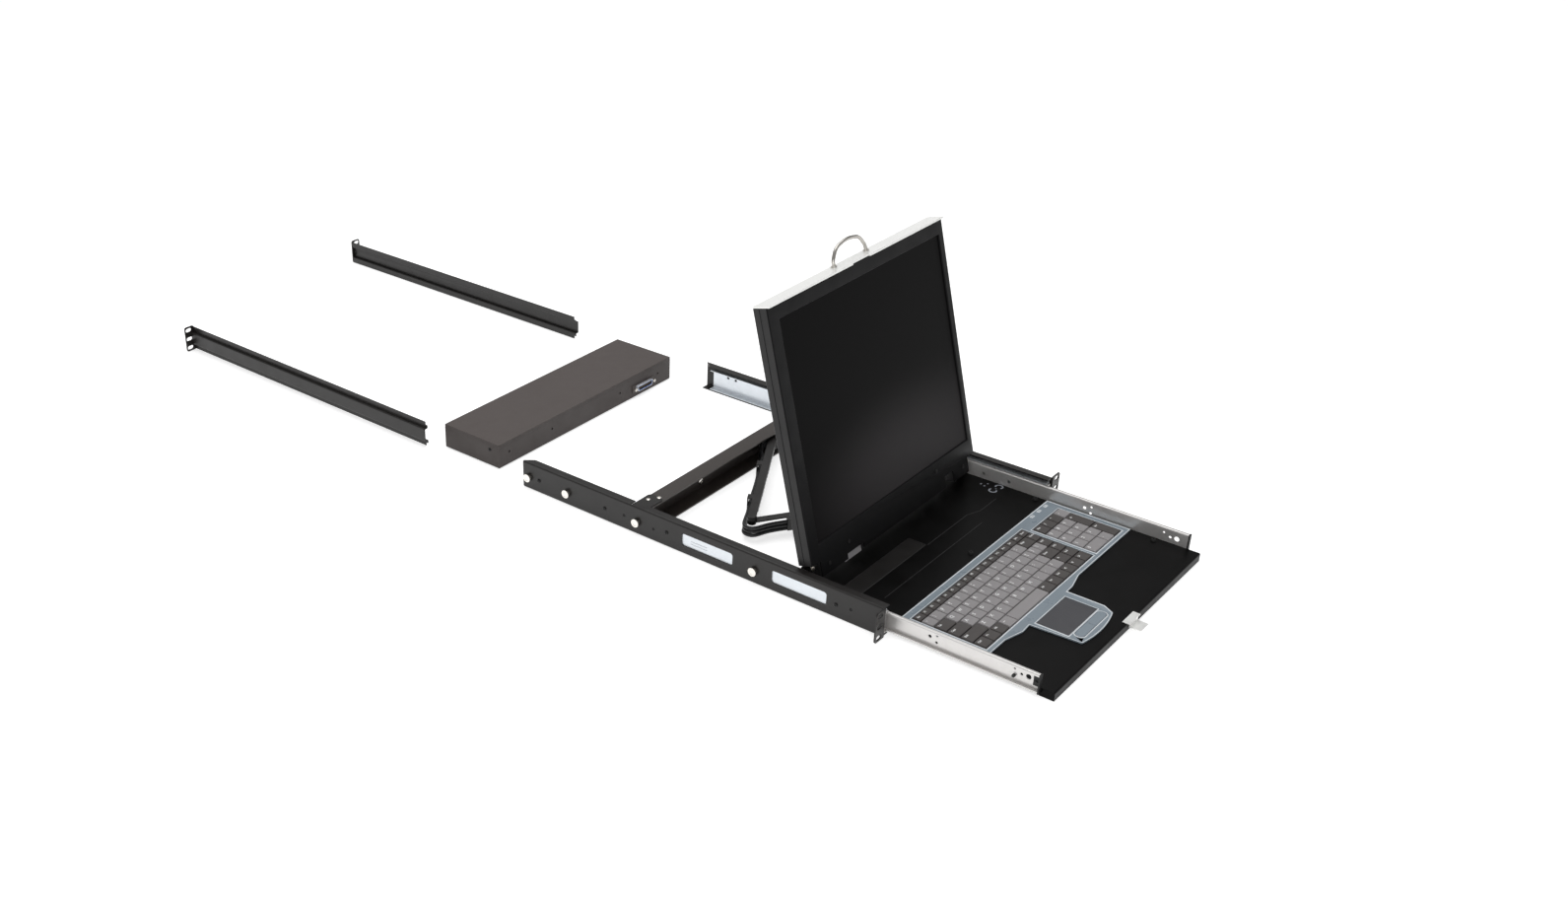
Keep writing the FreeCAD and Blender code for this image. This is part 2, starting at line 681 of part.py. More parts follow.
def lid_notches(n0, n1):
    """What is cut out of every layer of the lid's foot for the hinges and the leads."""
    x0, x1 = HINGE_NOTCH_X
    low = LID_U[0] - 1
    hinge = lid_box(x0, x1, low, HINGE_NOTCH_U, n0 - 1, n1 + 1)
    leads = lid_box(-128, -89, low, 35.5, n0 - 1, n1 + 1)
    right = lid_box(124, 147, low, 45, n0 - 1, n1 + 1)
    return Part.makeCompound(both_sides([hinge]) + [leads, right])


def lid_back_shell():
    u0, u1 = LID_U
    n0, n1 = SHELL_N
    outer = lid_box(-LID_HALF, LID_HALF, u0, u1, n0, n1)
    long_edges = [edge for edge in outer.Edges if abs(edge.CenterOfMass.z + n1) < 0.01]
    outer = outer.makeChamfer(1.0, long_edges)
    w = SHELL_WALL
    inner = lid_box(-LID_HALF + w, LID_HALF - w, HINGE_NOTCH_U + w, u1 - w, n0 - 1, n1 - w)
    foot = lid_box(-182.0, 182.0, 47.0, HINGE_NOTCH_U + w + 1, n0 - 1, n1 - w)
    shell = outer.cut(inner.fuse(foot))
    return shell.cut(lid_notches(n0, n1))


def lid_middle_frame():
    u0, u1 = LID_U
    n0, n1 = FRAME_N
    outer = lid_box(-LID_HALF + 0.6, LID_HALF - 0.6, u0 + 0.4, u1, n0, n1)
    w = FRAME_WALL
    inner = lid_box(-LID_HALF + w, LID_HALF - w, HINGE_NOTCH_U + 6, u1 - w, n0 - 1, n1 + 1)
    return outer.cut(inner).cut(lid_notches(n0, n1))


def lid_front_bezel():
    u0, u1 = LID_U
    n0, n1 = BEZEL_N
    plate = lid_box(-LID_HALF, LID_HALF, u0, u1, n0, n1)
    opening = lid_box(SCREEN_X[0], SCREEN_X[1], SCREEN_U[0], SCREEN_U[1], n0 - 1, n1 + 1)
    rim = [edge for edge in plate.Edges if abs(edge.CenterOfMass.z) < 0.01]
    plate = plate.makeChamfer(0.6, rim)
    slope = 1.2
    (x0, x1), (low, high) = SCREEN_X, SCREEN_U
    wide = rectangle(x0 - slope, x1 + slope, low - slope, high + slope, 0.05)
    narrow = rectangle(x0, x1, low, high, -slope)
    bevel = Part.makeLoft([wide, narrow], True, True)
    return plate.cut(opening.fuse(bevel)).cut(lid_notches(n0, n1))


def lcd_panel():
    return lid_box(PANEL_X[0], PANEL_X[1], PANEL_U[0], PANEL_U[1], PANEL_N[0], PANEL_N[1])


def lid_front_panel():
    """The bright plate across the free end of the lid, cut away in the middle for the catch."""
    u0 = LID_U[1]
    n0, n1 = FRONT_PANEL_N
    plate = lid_box(-LID_HALF, LID_HALF, u0, u0 + FRONT_PANEL_THICK, n0, n1)
    cut = lid_box(-20, 20, u0 - 1, u0 + FRONT_PANEL_THICK + 1, n0 - 1, 0)
    return plate.cut(cut)


def pull_handle():
    """A round bar bent to a bow, with a collar at each foot."""
    u0 = LID_U[1] + FRONT_PANEL_THICK
    z = -HANDLE_N
    top = u0 + HANDLE_RISE - HANDLE_RADIUS
    x = HANDLE_FOOT_X
    points = (
        Vector(-x, u0, z),
        Vector(-x, u0 + 8, z),
        Vector(-x * 0.72, top - 4, z),
        Vector(0, top + 1.2, z),
        Vector(x * 0.72, top - 4, z),
        Vector(x, u0 + 8, z),
        Vector(x, u0, z),
    )
    bow = tube(rounded_path(points), HANDLE_RADIUS)
    collars = [cylinder(4.2, (side * x, u0, z), (0, 1, 0), 2.0) for side in (-1, 1)]
    return fuse([bow] + collars)


def hinge_axis():
    lean = math.radians(LID_LEAN)
    y = LID_FOOT_Y + HINGE_U * math.sin(lean) + HINGE_N * math.cos(lean)
    z = HINGE_U * math.cos(lean) - HINGE_N * math.sin(lean)
    return y, z


def hinge_bracket():
    """The right leaf: it stands on the deck in the lid's notch and holds the pin in a round eye."""
    y, z = hinge_axis()
    x0, x1 = HINGE_LEAF_X
    radius = 8.0
    post = box(x0, x1, y - 7.0, y + 7.0, DECK_TOP, z)
    eye = cylinder(radius, (x0, y, z), (1, 0, 0), x1 - x0)
    foot = box(x0 - 5, x1 + 4.5, y - 7.0, y + 7.0, DECK_TOP, DECK_TOP + 1.0)
    bore = cylinder(HINGE_PIN_RADIUS + HINGE_CLEARANCE, (x0 - 1, y, z), (1, 0, 0), x1 - x0 + 2)
    return fuse([post, eye, foot]).cut(bore)


def hinge_pin():
    """The right pin: a flange against the lid, friction washers up to the leaf and a nut outside it."""
    y, z = hinge_axis()
    x0 = HINGE_NOTCH_X[0]
    leaf0, leaf1 = HINGE_LEAF_X
    washer_radius, washer = SPRING_WASHER
    pin = cylinder(HINGE_PIN_RADIUS, (x0, y, z), (1, 0, 0), HINGE_PIN_END - x0)
    flange = cylinder(washer_radius + 0.8, (x0, y, z), (1, 0, 0), washer)
    sleeve = cylinder(washer_radius - 1.2, (x0, y, z), (1, 0, 0), leaf0 - 0.4 - x0)
    starts = [leaf0 - 0.4 - washer - 1.6 * washer * i for i in range(4)]
    washers = [cylinder(washer_radius, (x, y, z), (1, 0, 0), washer) for x in starts]
    nut_radius, nut_height = HINGE_NUT
    corners = [math.radians(60 * i) for i in range(6)]
    outline = [(y + nut_radius * math.cos(a), z + nut_radius * math.sin(a)) for a in corners]
    nut_x = leaf1 + 0.4
    nut = polygon(outline, lambda py, pz: Vector(nut_x, py, pz)).extrude(Vector(nut_height, 0, 0))
    return fuse([pin, flange, sleeve, nut] + washers)


# Crossbar and cable arm


def rear_crossbar():
    """A channel open towards the drawer, which the folded arm goes into."""
    path = (
        (BAR_Y[0], BAR_Z[0]),
        (BAR_Y[1], BAR_Z[0]),
        (BAR_Y[1], BAR_Z[1]),
        (BAR_Y[0], BAR_Z[1]),
    )
    bar = bent_along_x(path, BAR_SHEET, 1.0, -BAR_HALF, BAR_HALF)
    cutters = [cylinder(1.8, (x, 400, MODULE_HOLE_Z), (0, 1, 0), 20) for x in MODULE_HOLES_X]
    cutters.append(Part.Face(d_outline(*PLUG_HALF, 400)).extrude(Vector(0, 20, 0)))
    return bar.cut(Part.makeCompound(cutters))


def crossbar_bracket():
    """The right bracket: a plate on the bar that reaches over the slide to the rail's web."""
    inner, outer = 178.0, RAIL_FACE - RAIL_SHEET
    y0, y1 = NOTCH_Y[0] + 0.5, NOTCH_Y[1] - 0.5
    low, high = BAR_Z[1], BAR_Z[1] + 1.5
    outline = ((inner, y0 + 4), (inner + 4, y0), (outer, y0), (outer, y1), (inner + 4, y1), (inner, y1 - 4))
    plate = slab(outline, low, high)
    tab = box(outer - 1.5, outer, y0, y1, OUTER_Z[1] + 0.6, high)
    return fuse([plate, tab])


def arm_points():
    """Pivots of the cable arm: crossbar, elbow and tray, and the length of the front link.

    Closed, both links lie along X inside the bar, so the tray pivot's place follows from that."""
    turn = math.radians(REAR_LINK_TURN)
    rear_length = (ARM_BASE_Y - ELBOW_Y) / math.sin(turn)
    base = Vector(ELBOW_X + rear_length * math.cos(turn), ARM_BASE_Y, 0)
    elbow = Vector(ELBOW_X, ELBOW_Y, 0)
    closed_x = base.x - rear_length
    rise = ELBOW_Y - TRAY_PIVOT_Y
    spread = ELBOW_X - closed_x
    x = (rise**2 + ELBOW_X**2 - closed_x**2) / (2 * spread)
    tray = Vector(x, TRAY_PIVOT_Y, 0)
    return base, elbow, tray


def link_axes(start, end):
    """Unit vectors along a link and to its left."""
    along = (end - start).normalize()
    return along, Vector(-along.y, along.x, 0)


def link_plate(start, end, z, hole_start, hole_end):
    """A flat bar with round ends and a hole at each end."""
    along, left = link_axes(start, end)
    half = LINK_WIDTH / 2
    length = (end - start).Length
    bar = box(0, length, -half, half, z, z + LINK_SHEET)
    ends = [cylinder(half, (x, 0, z), (0, 0, 1), LINK_SHEET) for x in (0, length)]
    plate = fuse([bar] + ends)
    for x, radius in ((0, hole_start), (length, hole_end)):
        if radius:
            plate = plate.cut(cylinder(radius, (x, 0, z - 1), (0, 0, 1), LINK_SHEET + 2))
    return plate


def link_tab(x, side, z):
    """A lanced tab that reaches over the leads and down their outer side."""
    half = LINK_WIDTH / 2
    reach = CABLE_OFFSET + CABLE_RADIUS + 0.3
    top = box(x, x + 12, half - 1, reach + 1.0, z, z + LINK_SHEET)
    down = box(x, x + 12, reach, reach + 1.0, CABLE_Z[0] - 2.0, z + LINK_SHEET)
    tab = fuse([top, down])
    return tab if side > 0 else tab.mirror(Vector(0, 0, 0), Vector(0, 1, 0))


def to_link(shape, start, end):
    """Move a shape drawn along +X from the origin onto a link."""
    along, left = link_axes(start, end)
    shape.rotate(Vector(0, 0, 0), Vector(0, 0, 1), math.degrees(math.atan2(along.y, along.x)))
    shape.translate(start)
    return shape


def arm_link_rear(base, elbow):
    """The upper link, from the elbow to the crossbar; its leads are on its left."""
    length = (base - elbow).Length
    plate = link_plate(elbow, base, REAR_LINK_Z, 0, HINGE_PIN_RADIUS + HINGE_CLEARANCE)
    edge = box(22, length - 40, -LINK_WIDTH / 2, -LINK_WIDTH / 2 + 1.5, REAR_LINK_Z - 4.2, REAR_LINK_Z + 1)
    slots = [box(x, x + 34, -10, 0, REAR_LINK_Z - 3.2, REAR_LINK_Z - 1.0) for x in (60.0, 120.0)]
    edge = edge.cut(Part.makeCompound(slots))
    tabs = [link_tab(x, 1, REAR_LINK_Z) for x in (48.0, 150.0)]
    return to_link(fuse([plate, edge] + tabs), elbow, base)


def arm_link_front(elbow, tray):
    """The lower link, from the elbow to the tray; its leads are on its right."""
    plate = link_plate(elbow, tray, FRONT_LINK_Z, 4.0 + HINGE_CLEARANCE, 3.0)
    length = (tray - elbow).Length
    edge = box(22, length - 62, LINK_WIDTH / 2 - 1.5, LINK_WIDTH / 2, FRONT_LINK_Z - 5, FRONT_LINK_Z + 1)
    tabs = [link_tab(x, -1, FRONT_LINK_Z) for x in (48.0, 100.0)]
    return to_link(fuse([plate, edge] + tabs), elbow, tray)


def elbow_pin(elbow):
    """A spacer under the upper link and a headed pin through the lower one."""
    top = FRONT_LINK_Z + LINK_SHEET
    spacer = cylinder(7.0, (elbow.x, elbow.y, top + 0.3), (0, 0, 1), REAR_LINK_Z - top - 0.3)
    pin = cylinder(4.0, (elbow.x, elbow.y, FRONT_LINK_Z - 0.5), (0, 0, 1), LINK_SHEET + 1.0)
    head = cylinder(6.2, (elbow.x, elbow.y, FRONT_LINK_Z - 3.2), (0, 0, 1), 2.9)
    return fuse([spacer, pin, head])


def arm_base_bracket(base):
    """The post on the bar's lower flange, with the pivot pin of the arm."""
    floor = BAR_Z[0] + BAR_SHEET
    post = cylinder(6.0, (base.x, base.y, floor), (0, 0, 1), REAR_LINK_Z - 0.3 - floor)
    foot = box(base.x - 10, base.x + 10, base.y - 8, base.y + 8, floor, floor + 1.5)
    pin = cylinder(HINGE_PIN_RADIUS, (base.x, base.y, REAR_LINK_Z - 1), (0, 0, 1), LINK_SHEET + 2)
    cap = cylinder(5.0, (base.x, base.y, REAR_LINK_Z + LINK_SHEET + 0.3), (0, 0, 1), 1.6)
    return fuse([post, foot, pin, cap])


def arm_tray_bracket(tray):
    """The bracket behind the tray, with the hollow post that the leads go down through."""
    z0, z1 = 10.0, 12.0
    half = 6.0
    plate = box(tray.x - half, tray.x + half, TRAY_REAR, tray.y, z0, z1)
    nose = cylinder(half, (tray.x, tray.y, z0), (0, 0, 1), z1 - z0)
    leg = box(tray.x - 14, tray.x + 14, TRAY_REAR, TRAY_REAR + 2, 3.0, z1)
    post = cylinder(4.5, (tray.x, tray.y, z0), (0, 0, 1), FRONT_LINK_Z - 0.4 - z0)
    bore = cylinder(2.6, (tray.x, tray.y, z0 - 1), (0, 0, 1), 30)
    return fuse([plate, nose, leg, post]).cut(bore)


def link_lead_points(start, end, places, z):
    """Points beside a link, given as (distance along it, offset to its left)."""
    along, left = link_axes(start, end)
    return [start + along * s + left * o + Vector(0, 0, z) for s, o in places]


def straight_leads(start, end, side, stop):
    length = (end - start).Length
    leads = []
    for z in CABLE_Z:
        a, b = link_lead_points(start, end, ((LEAD_START, side), (length - stop, side)), z)
        leads.append(Part.makeCylinder(CABLE_RADIUS, (b - a).Length, a, b - a))
    return leads


def elbow_leads(base, elbow, tray):
    """The slack loops round the elbow, from one link's leads to the other's."""
    loops = []
    rear = ((LEAD_START, 9.5), (24.0, 9.5), (12.0, 12.5), (-2.0, 14.5))
    front = ((-2.0, -14.5), (12.0, -12.5), (24.0, -9.5), (LEAD_START, -9.5))
    for z in CABLE_Z:
        points = link_lead_points(elbow, base, rear, z)
        bend = link_lead_points(elbow, base, ((-13.0, 10.0),), z)
        points += bend + link_lead_points(elbow, tray, front, z)
        loops.append(tube(rounded_path(points), CABLE_RADIUS))
    return loops


def crossbar_leads(base, elbow):
    """The slack loops from the arm into the plug that is mounted in the bar."""
    length = (base - elbow).Length
    loops = []
    for z in CABLE_Z:
        places = ((length - REAR_LEAD_END, 9.5), (length - 50, 9.5), (length - 38, 14.0), (length - 24, 19.5))
        points = link_lead_points(elbow, base, places, z)
        points.append(Vector(82.0, 404.2, z))
        points.append(Vector(98.0, 404.6, z))
        points.append(Vector(CONNECTOR_X - 22.0, 404.6, z))
        loops.append(tube(rounded_path(points), CABLE_RADIUS))
    return loops


def arm_cable_block(elbow, tray):
    """The moulded block under the lower link, where its leads end and turn down into the post."""
    length = (tray - elbow).Length
    x0, x1 = length - FRONT_LEAD_END, length - 12
    block = box(x0, x1, -13.0, 4.0, 6.5, FRONT_LINK_Z)
    edges = [edge for edge in block.Edges if abs(edge.tangentAt(edge.FirstParameter).z) > 0.9]
    return to_link(block.makeFillet(2.0, edges), elbow, tray)


def dock_connector():
    """The plug in the bar that the switch module's socket meets, with its moulded back."""
    x0, x1 = CONNECTOR_X - 22, CONNECTOR_X + 22
    back = box(x0, x1, 396.5, BAR_Y[1] - BAR_SHEET, CONNECTOR_Z - 9.5, CONNECTOR_Z + 8.5)
    edges = [edge for edge in back.Edges if abs(edge.tangentAt(edge.FirstParameter).z) > 0.9]
    back = back.makeFillet(2.0, [edge for edge in edges if edge.CenterOfMass.y < 400])
    rear_face = BAR_Y[1] - BAR_SHEET
    ring = Part.Face(d_outline(*PLUG_HALF, rear_face)).extrude(Vector(0, PLUG_REACH + BAR_SHEET, 0))
    mouth = Part.Face(d_outline(PLUG_HALF[0] - 1.2, PLUG_HALF[1] - 1.2, BAR_Y[1])).extrude(Vector(0, 20, 0))
    return fuse([back, ring]).cut(mouth)


# Rear rails


def rear_rail(front):
    """The right rear rail: a hat section whose channel slides over the studs, with a rear ear."""
    t = RAIL_SHEET
    low, high = REAR_RAIL_Z
    floor, roof = REAR_CHANNEL_Z
    inner, web = REAR_RAIL_INNER, REAR_RAIL_WEB
    path = (
        (inner, high),
        (inner, roof),
        (web, roof),
        (web, floor),
        (inner, floor),
        (inner, low),
    )
    rear = front + REAR_RAIL_LENGTH
    rail = bent_along_y(path, t, 0.5, front, rear - EAR_SHEET)
    notch = [box(inner - 1, inner + 3, front - 1, front + 4, high - 5, high + 1)]
    notch.append(box(inner - 1, inner + 3, front - 1, front + 4, low - 1, low + 5))
    rail = rail.cut(Part.makeCompound(notch))
    plate = rounded_slab(inner, EAR_HALF_WIDTH, 0, PANEL_HEIGHT, 0, EAR_SHEET, 3.5)
    plate.rotate(Vector(0, 0, 0), Vector(1, 0, 0), 90)
    plate.translate(Vector(0, rear, 0))
    middle = PANEL_HEIGHT / 2
    for z in (middle - SLOT_PITCH, middle, middle + SLOT_PITCH):
        plate = plate.cut(slot_cutter(SLOT_X + 1.2, z, rear - EAR_SHEET - 1, rear + 1))
    return fuse([rail, plate])


# Switch module


def module_base():
    """The lower tray of the module: floor, front, rear and side walls."""
    x0, x1 = MODULE_X
    y0, y1 = MODULE_Y
    z0, z1 = MODULE_Z
    t = MODULE_SHEET
    outer = box(x0, x1, y0, y1, z0, z1 - COVER_SKIRT)
    inner = box(x0 + t, x1 - t, y0 + t, y1 - t, z0 + t, z1)
    cutters = [cylinder(1.8, (x, y0 - 1, MODULE_HOLE_Z), (0, 1, 0), 4) for x in MODULE_HOLES_X]
    mouth = Part.Face(d_outline(SOCKET_HALF[0] + 0.6, SOCKET_HALF[1] + 0.6, y0 - 1))
    cutters.append(mouth.extrude(Vector(0, 3, 0)))
    for left, right, low, high in MODULE_PORTS:
        cutters.append(box(left + 1.0, right - 1.0, y1 - 3, y1 + 1, low + 1.0, high - 1.0))
    return outer.cut(inner).cut(Part.makeCompound(cutters))


def module_cover():
    """The lid of the module, with a skirt that stands on the base's walls."""
    x0, x1 = MODULE_X
    y0, y1 = MODULE_Y
    z1 = MODULE_Z[1]
    z0 = z1 - COVER_SKIRT
    t = MODULE_SHEET
    outer = box(x0, x1, y0, y1, z0, z1)
    top = [edge for edge in outer.Edges if abs(edge.CenterOfMass.z - z1) < 0.01]
    outer = outer.makeChamfer(0.5, top)
    inner = box(x0 + t, x1 - t, y0 + t, y1 - t, z0 - 1, z1 - t)
    return outer.cut(inner)


def d_outline(half_width, half_height, y):
    """The outline of a D-shaped connector: a box whose lower side is narrower."""
    slant = 2.2
    corners = (
        (-half_width, half_height),
        (half_width, half_height),
        (half_width - slant, -half_height),
        (-half_width + slant, -half_height),
    )
    points = [Vector(CONNECTOR_X + x, y, CONNECTOR_Z + z) for x, z in corners]
    return Part.makePolygon(points + points[:1])


def connector_shell():
    face = MODULE_Y[0]
    width, height = 26.5, 6.2
    x, z = CONNECTOR_X, CONNECTOR_Z
    flange = box(x - width, x + width, face - 1.0, face, z - height, z + height)
    width, height = SOCKET_HALF
    collar = Part.Face(d_outline(width, height, face - 6.0)).extrude(Vector(0, 6, 0))
    hollow = Part.Face(d_outline(width - 0.5, height - 0.5, face - 7.0)).extrude(Vector(0, 9, 0))
    return fuse([flange, collar]).cut(hollow)


def connector_insert():
    face = MODULE_Y[0]
    width, height = SOCKET_HALF
    return Part.Face(d_outline(width - 0.5, height - 0.5, face - 5.2)).extrude(Vector(0, 12, 0))


def module_screws():
    face = MODULE_Y[0]
    screws = []
    for side in (-1, 1):
        x = CONNECTOR_X + side * JACK_SPACING / 2
        jack = cylinder(2.4, (x, face - 6.0, CONNECTOR_Z), (0, 1, 0), 5.0)
        screws.append(jack.cut(cylinder(1.3, (x, face - 7.0, CONNECTOR_Z), (0, 1, 0), 4.0)))
    screws.append(pan_head_screw((MODULE_X[0], 692.0, 27.5), (-1, 0, 0), 2.6, 1.6))
    screws.append(pan_head_screw((MODULE_X[1], 692.0, 27.5), (1, 0, 0), 2.6, 1.6))
    return screws


def rear_ports():
    """The sockets in the module's rear wall, each with an open mouth."""
    rear = MODULE_Y[1]
    sockets = []
    for x0, x1, z0, z1 in MODULE_PORTS:
        body = box(x0 + 1.0, x1 - 1.0, rear - 14, rear + 0.8, z0 + 1.0, z1 - 1.0)
        mouth = box(x0 + 2.4, x1 - 2.4, rear - 9, rear + 2, z0 + 2.4, z1 - 2.4)
        sockets.append(body.cut(mouth))
    return sockets


def chassis_screws():
    screws = []
    for y, z in RAIL_SCREWS:
        right = pan_head_screw((RAIL_FACE, y, z), (1, 0, 0), 3.0, 1.5)
        screws += both_sides([right])
    for x, y in ((180.7, 391.7), (193.8, 400.5)):
        screws += both_sides([pan_head_screw((x, y, BAR_Z[1] + 1.5), (0, 0, 1), 3.2, 1.8)])
    screws.append(pan_head_screw((-61.5, BAR_Y[1] - BAR_SHEET, 11.5), (0, -1, 0), 5.0, 1.4))
    return screws


def lid_screws():
    places = ((-169.3, 40.6), (-121.0, 50.7), (104.7, 61.0), (173.6, 41.5))
    screws = []
    for x, u in places:
        head = lid_cylinder(2.8, x, u, -0.7, 0.0)
        screws.append(head.cut(lid_cylinder(1.0, x, u, -0.8, -0.2)))
    return screws


def lid_bumpers():
    """Rubber feet on the deck that the closed lid lies against."""
    feet = []
    for x, y in ((10.3, 8.9), (199.0, 12.7), (-199.0, 12.7), (199.0, -163.4), (-199.0, -163.4)):
        foot = Part.makeCone(4.0, 3.2, 2.6, Vector(x, y, DECK_TOP))
        feet.append(foot.cut(cylinder(1.3, (x, y, DECK_TOP + 1.4), (0, 0, 1), 3)))
    return feet


def lid_catch():
    """The bright catch at the middle of the tray's lip: plate, drop and finger tab."""
    top = box(-16, 15, -226.6, -219.5, DECK_TOP + 0.3, DECK_TOP + 1.6)
    drop = box(-10, 12, -228.4, -226.5, 4.6, DECK_TOP + 1.6)
    tab = box(-10, 12, -243.0, -227.0, 4.6, 6.2)
    nose = box(-16, 15, -229.6, -226.5, DECK_TOP + 0.3, DECK_TOP + 1.6)
    return fuse([top, drop, tab, nose])


def indicator_lamps():
    return [box(x - 2.4, x + 2.4, -8.9, -7.5, BEZEL_TOP - 0.6, BEZEL_TOP + 0.1) for x in LAMPS_X]


def main():
    os.makedirs("parts", exist_ok=True)

    right_rail = side_rail()
    save("side_rail_right", [right_rail])
    save("side_rail_left", [mirror_x(right_rail)])
    save("guide_studs", both_sides([guide_stud(y) for y in STUD_Y]))
    save("chassis_screws", chassis_screws())
    for name, member in (("outer", outer_slide()), ("middle", middle_slide()), ("inner", inner_slide())):
        save("slide_" + name + "_right", [member])
        save("slide_" + name + "_left", [mirror_x(member)])
    save("slide_end_brackets", both_sides(slide_end_bracket()))

    save("drawer_tray", [drawer_tray()])
    save("keyboard_base", [keyboard_base()])
    save("keyboard_bezel", [keyboard_bezel()])
    save("touchpad", [touchpad()])
    save("touchpad_button_left", [touchpad_button(BUTTONS_X[0], BUTTON_SPLIT - 0.3, True)])
    save("touchpad_button_right", [touchpad_button(BUTTON_SPLIT + 0.3, BUTTONS_X[1], False)])
    save("indicator_lamps", indicator_lamps())
    save("lid_bumpers", lid_bumpers())
    save("lid_catch", [lid_catch()])

    rows = main_rows()
    space = rows["bottom_row_keys"].pop(4)
    rows["space_bar"] = [space]
    rows["keypad_keys"] = keypad_places()
    for name, places in rows.items():
        save(name, [key_cap(*place) for place in places])
    save("key_plate", [key_plate([place for places in rows.values() for place in places])])

    save("lid_back_shell", [lid_place(lid_back_shell())])
    save("lid_middle_frame", [lid_place(lid_middle_frame())])
    save("lid_front_bezel", [lid_place(lid_front_bezel())])
    save("lcd_panel", [lid_place(lcd_panel())])
    save("lid_front_panel", [lid_place(lid_front_panel())])
    save("pull_handle", [lid_place(pull_handle())])
    save("lid_screws", [lid_place(screw) for screw in lid_screws()])
    save("lid_lead_plate", [lid_place(lid_box(-128, -89, 28.4, 35.5, 6.0, 8.0))])
    save("hinge_pins", both_sides([hinge_pin()]))
    save("hinge_brackets", both_sides([hinge_bracket()]))

    base, elbow, tray = arm_points()
    print("arm base", base, "elbow", elbow, "tray pivot", tray, "hinge axis", hinge_axis())
    save("rear_crossbar", [rear_crossbar()])
    save("crossbar_brackets", both_sides([crossbar_bracket()]))
    save("arm_base_bracket", [arm_base_bracket(base)])
    save("arm_tray_bracket", [arm_tray_bracket(tray)])
    save("arm_link_rear", [arm_link_rear(base, elbow)])
    save("arm_link_front", [arm_link_front(elbow, tray)])
    save("elbow_pin", [elbow_pin(elbow)])
    save("arm_leads_rear", straight_leads(elbow, base, CABLE_OFFSET, REAR_LEAD_END))
    save("arm_leads_front", straight_leads(elbow, tray, -CABLE_OFFSET, FRONT_LEAD_END))
    save("elbow_lead_loops", elbow_leads(base, elbow, tray))
    save("crossbar_lead_loops", crossbar_leads(base, elbow))
    save("arm_cable_block", [arm_cable_block(elbow, tray)])
    save("dock_connector", [dock_connector()])

    save("rear_rail_right", [rear_rail(REAR_RAIL_FRONT_RIGHT)])
    save("rear_rail_left", [mirror_x(rear_rail(REAR_RAIL_FRONT_LEFT))])

    save("module_base", [module_base()])
    save("module_cover", [module_cover()])
    save("connector_shell", [connector_shell()])
    save("connector_insert", [connector_insert()])
    save("module_screws", module_screws())
    save("rear_ports", rear_ports())


main()
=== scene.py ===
"""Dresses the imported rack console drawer: painted steel, plated slides, keyboard, screen and cable arm.

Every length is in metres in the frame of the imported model: X to the right, +Y into the rack, +Z up."""

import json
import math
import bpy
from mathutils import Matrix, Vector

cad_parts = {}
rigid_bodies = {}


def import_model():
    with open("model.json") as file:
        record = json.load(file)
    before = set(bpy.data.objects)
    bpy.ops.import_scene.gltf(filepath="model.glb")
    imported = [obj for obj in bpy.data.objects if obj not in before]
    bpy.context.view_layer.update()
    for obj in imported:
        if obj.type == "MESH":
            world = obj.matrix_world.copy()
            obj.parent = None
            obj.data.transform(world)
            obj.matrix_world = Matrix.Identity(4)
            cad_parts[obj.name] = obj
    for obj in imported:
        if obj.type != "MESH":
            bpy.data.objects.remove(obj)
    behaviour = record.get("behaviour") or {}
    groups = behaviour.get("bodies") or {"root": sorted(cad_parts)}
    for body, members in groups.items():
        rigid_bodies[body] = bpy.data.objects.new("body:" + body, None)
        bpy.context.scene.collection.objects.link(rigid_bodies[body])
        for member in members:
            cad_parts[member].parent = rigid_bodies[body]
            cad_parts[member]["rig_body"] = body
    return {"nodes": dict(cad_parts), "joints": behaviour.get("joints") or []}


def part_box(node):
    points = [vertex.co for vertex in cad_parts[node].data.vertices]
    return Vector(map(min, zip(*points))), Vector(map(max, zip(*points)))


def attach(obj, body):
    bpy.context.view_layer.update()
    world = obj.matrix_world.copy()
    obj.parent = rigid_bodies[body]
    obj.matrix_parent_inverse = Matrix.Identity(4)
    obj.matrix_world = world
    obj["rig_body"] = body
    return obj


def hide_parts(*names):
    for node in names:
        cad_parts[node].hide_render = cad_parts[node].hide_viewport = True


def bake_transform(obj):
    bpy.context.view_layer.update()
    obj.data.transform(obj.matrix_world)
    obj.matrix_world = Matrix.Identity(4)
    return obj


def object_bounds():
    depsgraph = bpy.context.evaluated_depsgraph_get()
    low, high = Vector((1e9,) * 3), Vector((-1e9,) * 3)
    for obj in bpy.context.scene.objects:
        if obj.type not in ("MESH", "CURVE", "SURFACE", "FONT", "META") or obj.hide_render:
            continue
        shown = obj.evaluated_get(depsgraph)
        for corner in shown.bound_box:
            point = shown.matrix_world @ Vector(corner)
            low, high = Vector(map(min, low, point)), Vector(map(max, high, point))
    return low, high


bl_info = {
    "name": "Rack console drawer",
    "version": (1, 0, 0),
    "blender": (4, 5, 0),
    "location": "View3D > Sidebar > Console drawer",
    "description": "Finishes, key caps, screen, leads and studio for a rack console drawer",
    "category": "Object",
}

import bmesh
import bpy
import numpy as np
from bpy.props import FloatProperty, FloatVectorProperty, IntProperty, PointerProperty
from mathutils import Matrix, Vector

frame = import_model()
CAD_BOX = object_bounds()

# The rack unit's lower edge lies half a panel under the origin
PANEL_HALF = 0.02183
MM = 0.001
# Height of the tray's deck over the ears' lower edge, in millimetres
DECK_LEVEL = 12.1
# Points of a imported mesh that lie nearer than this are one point, in metres
WELD = 2e-6
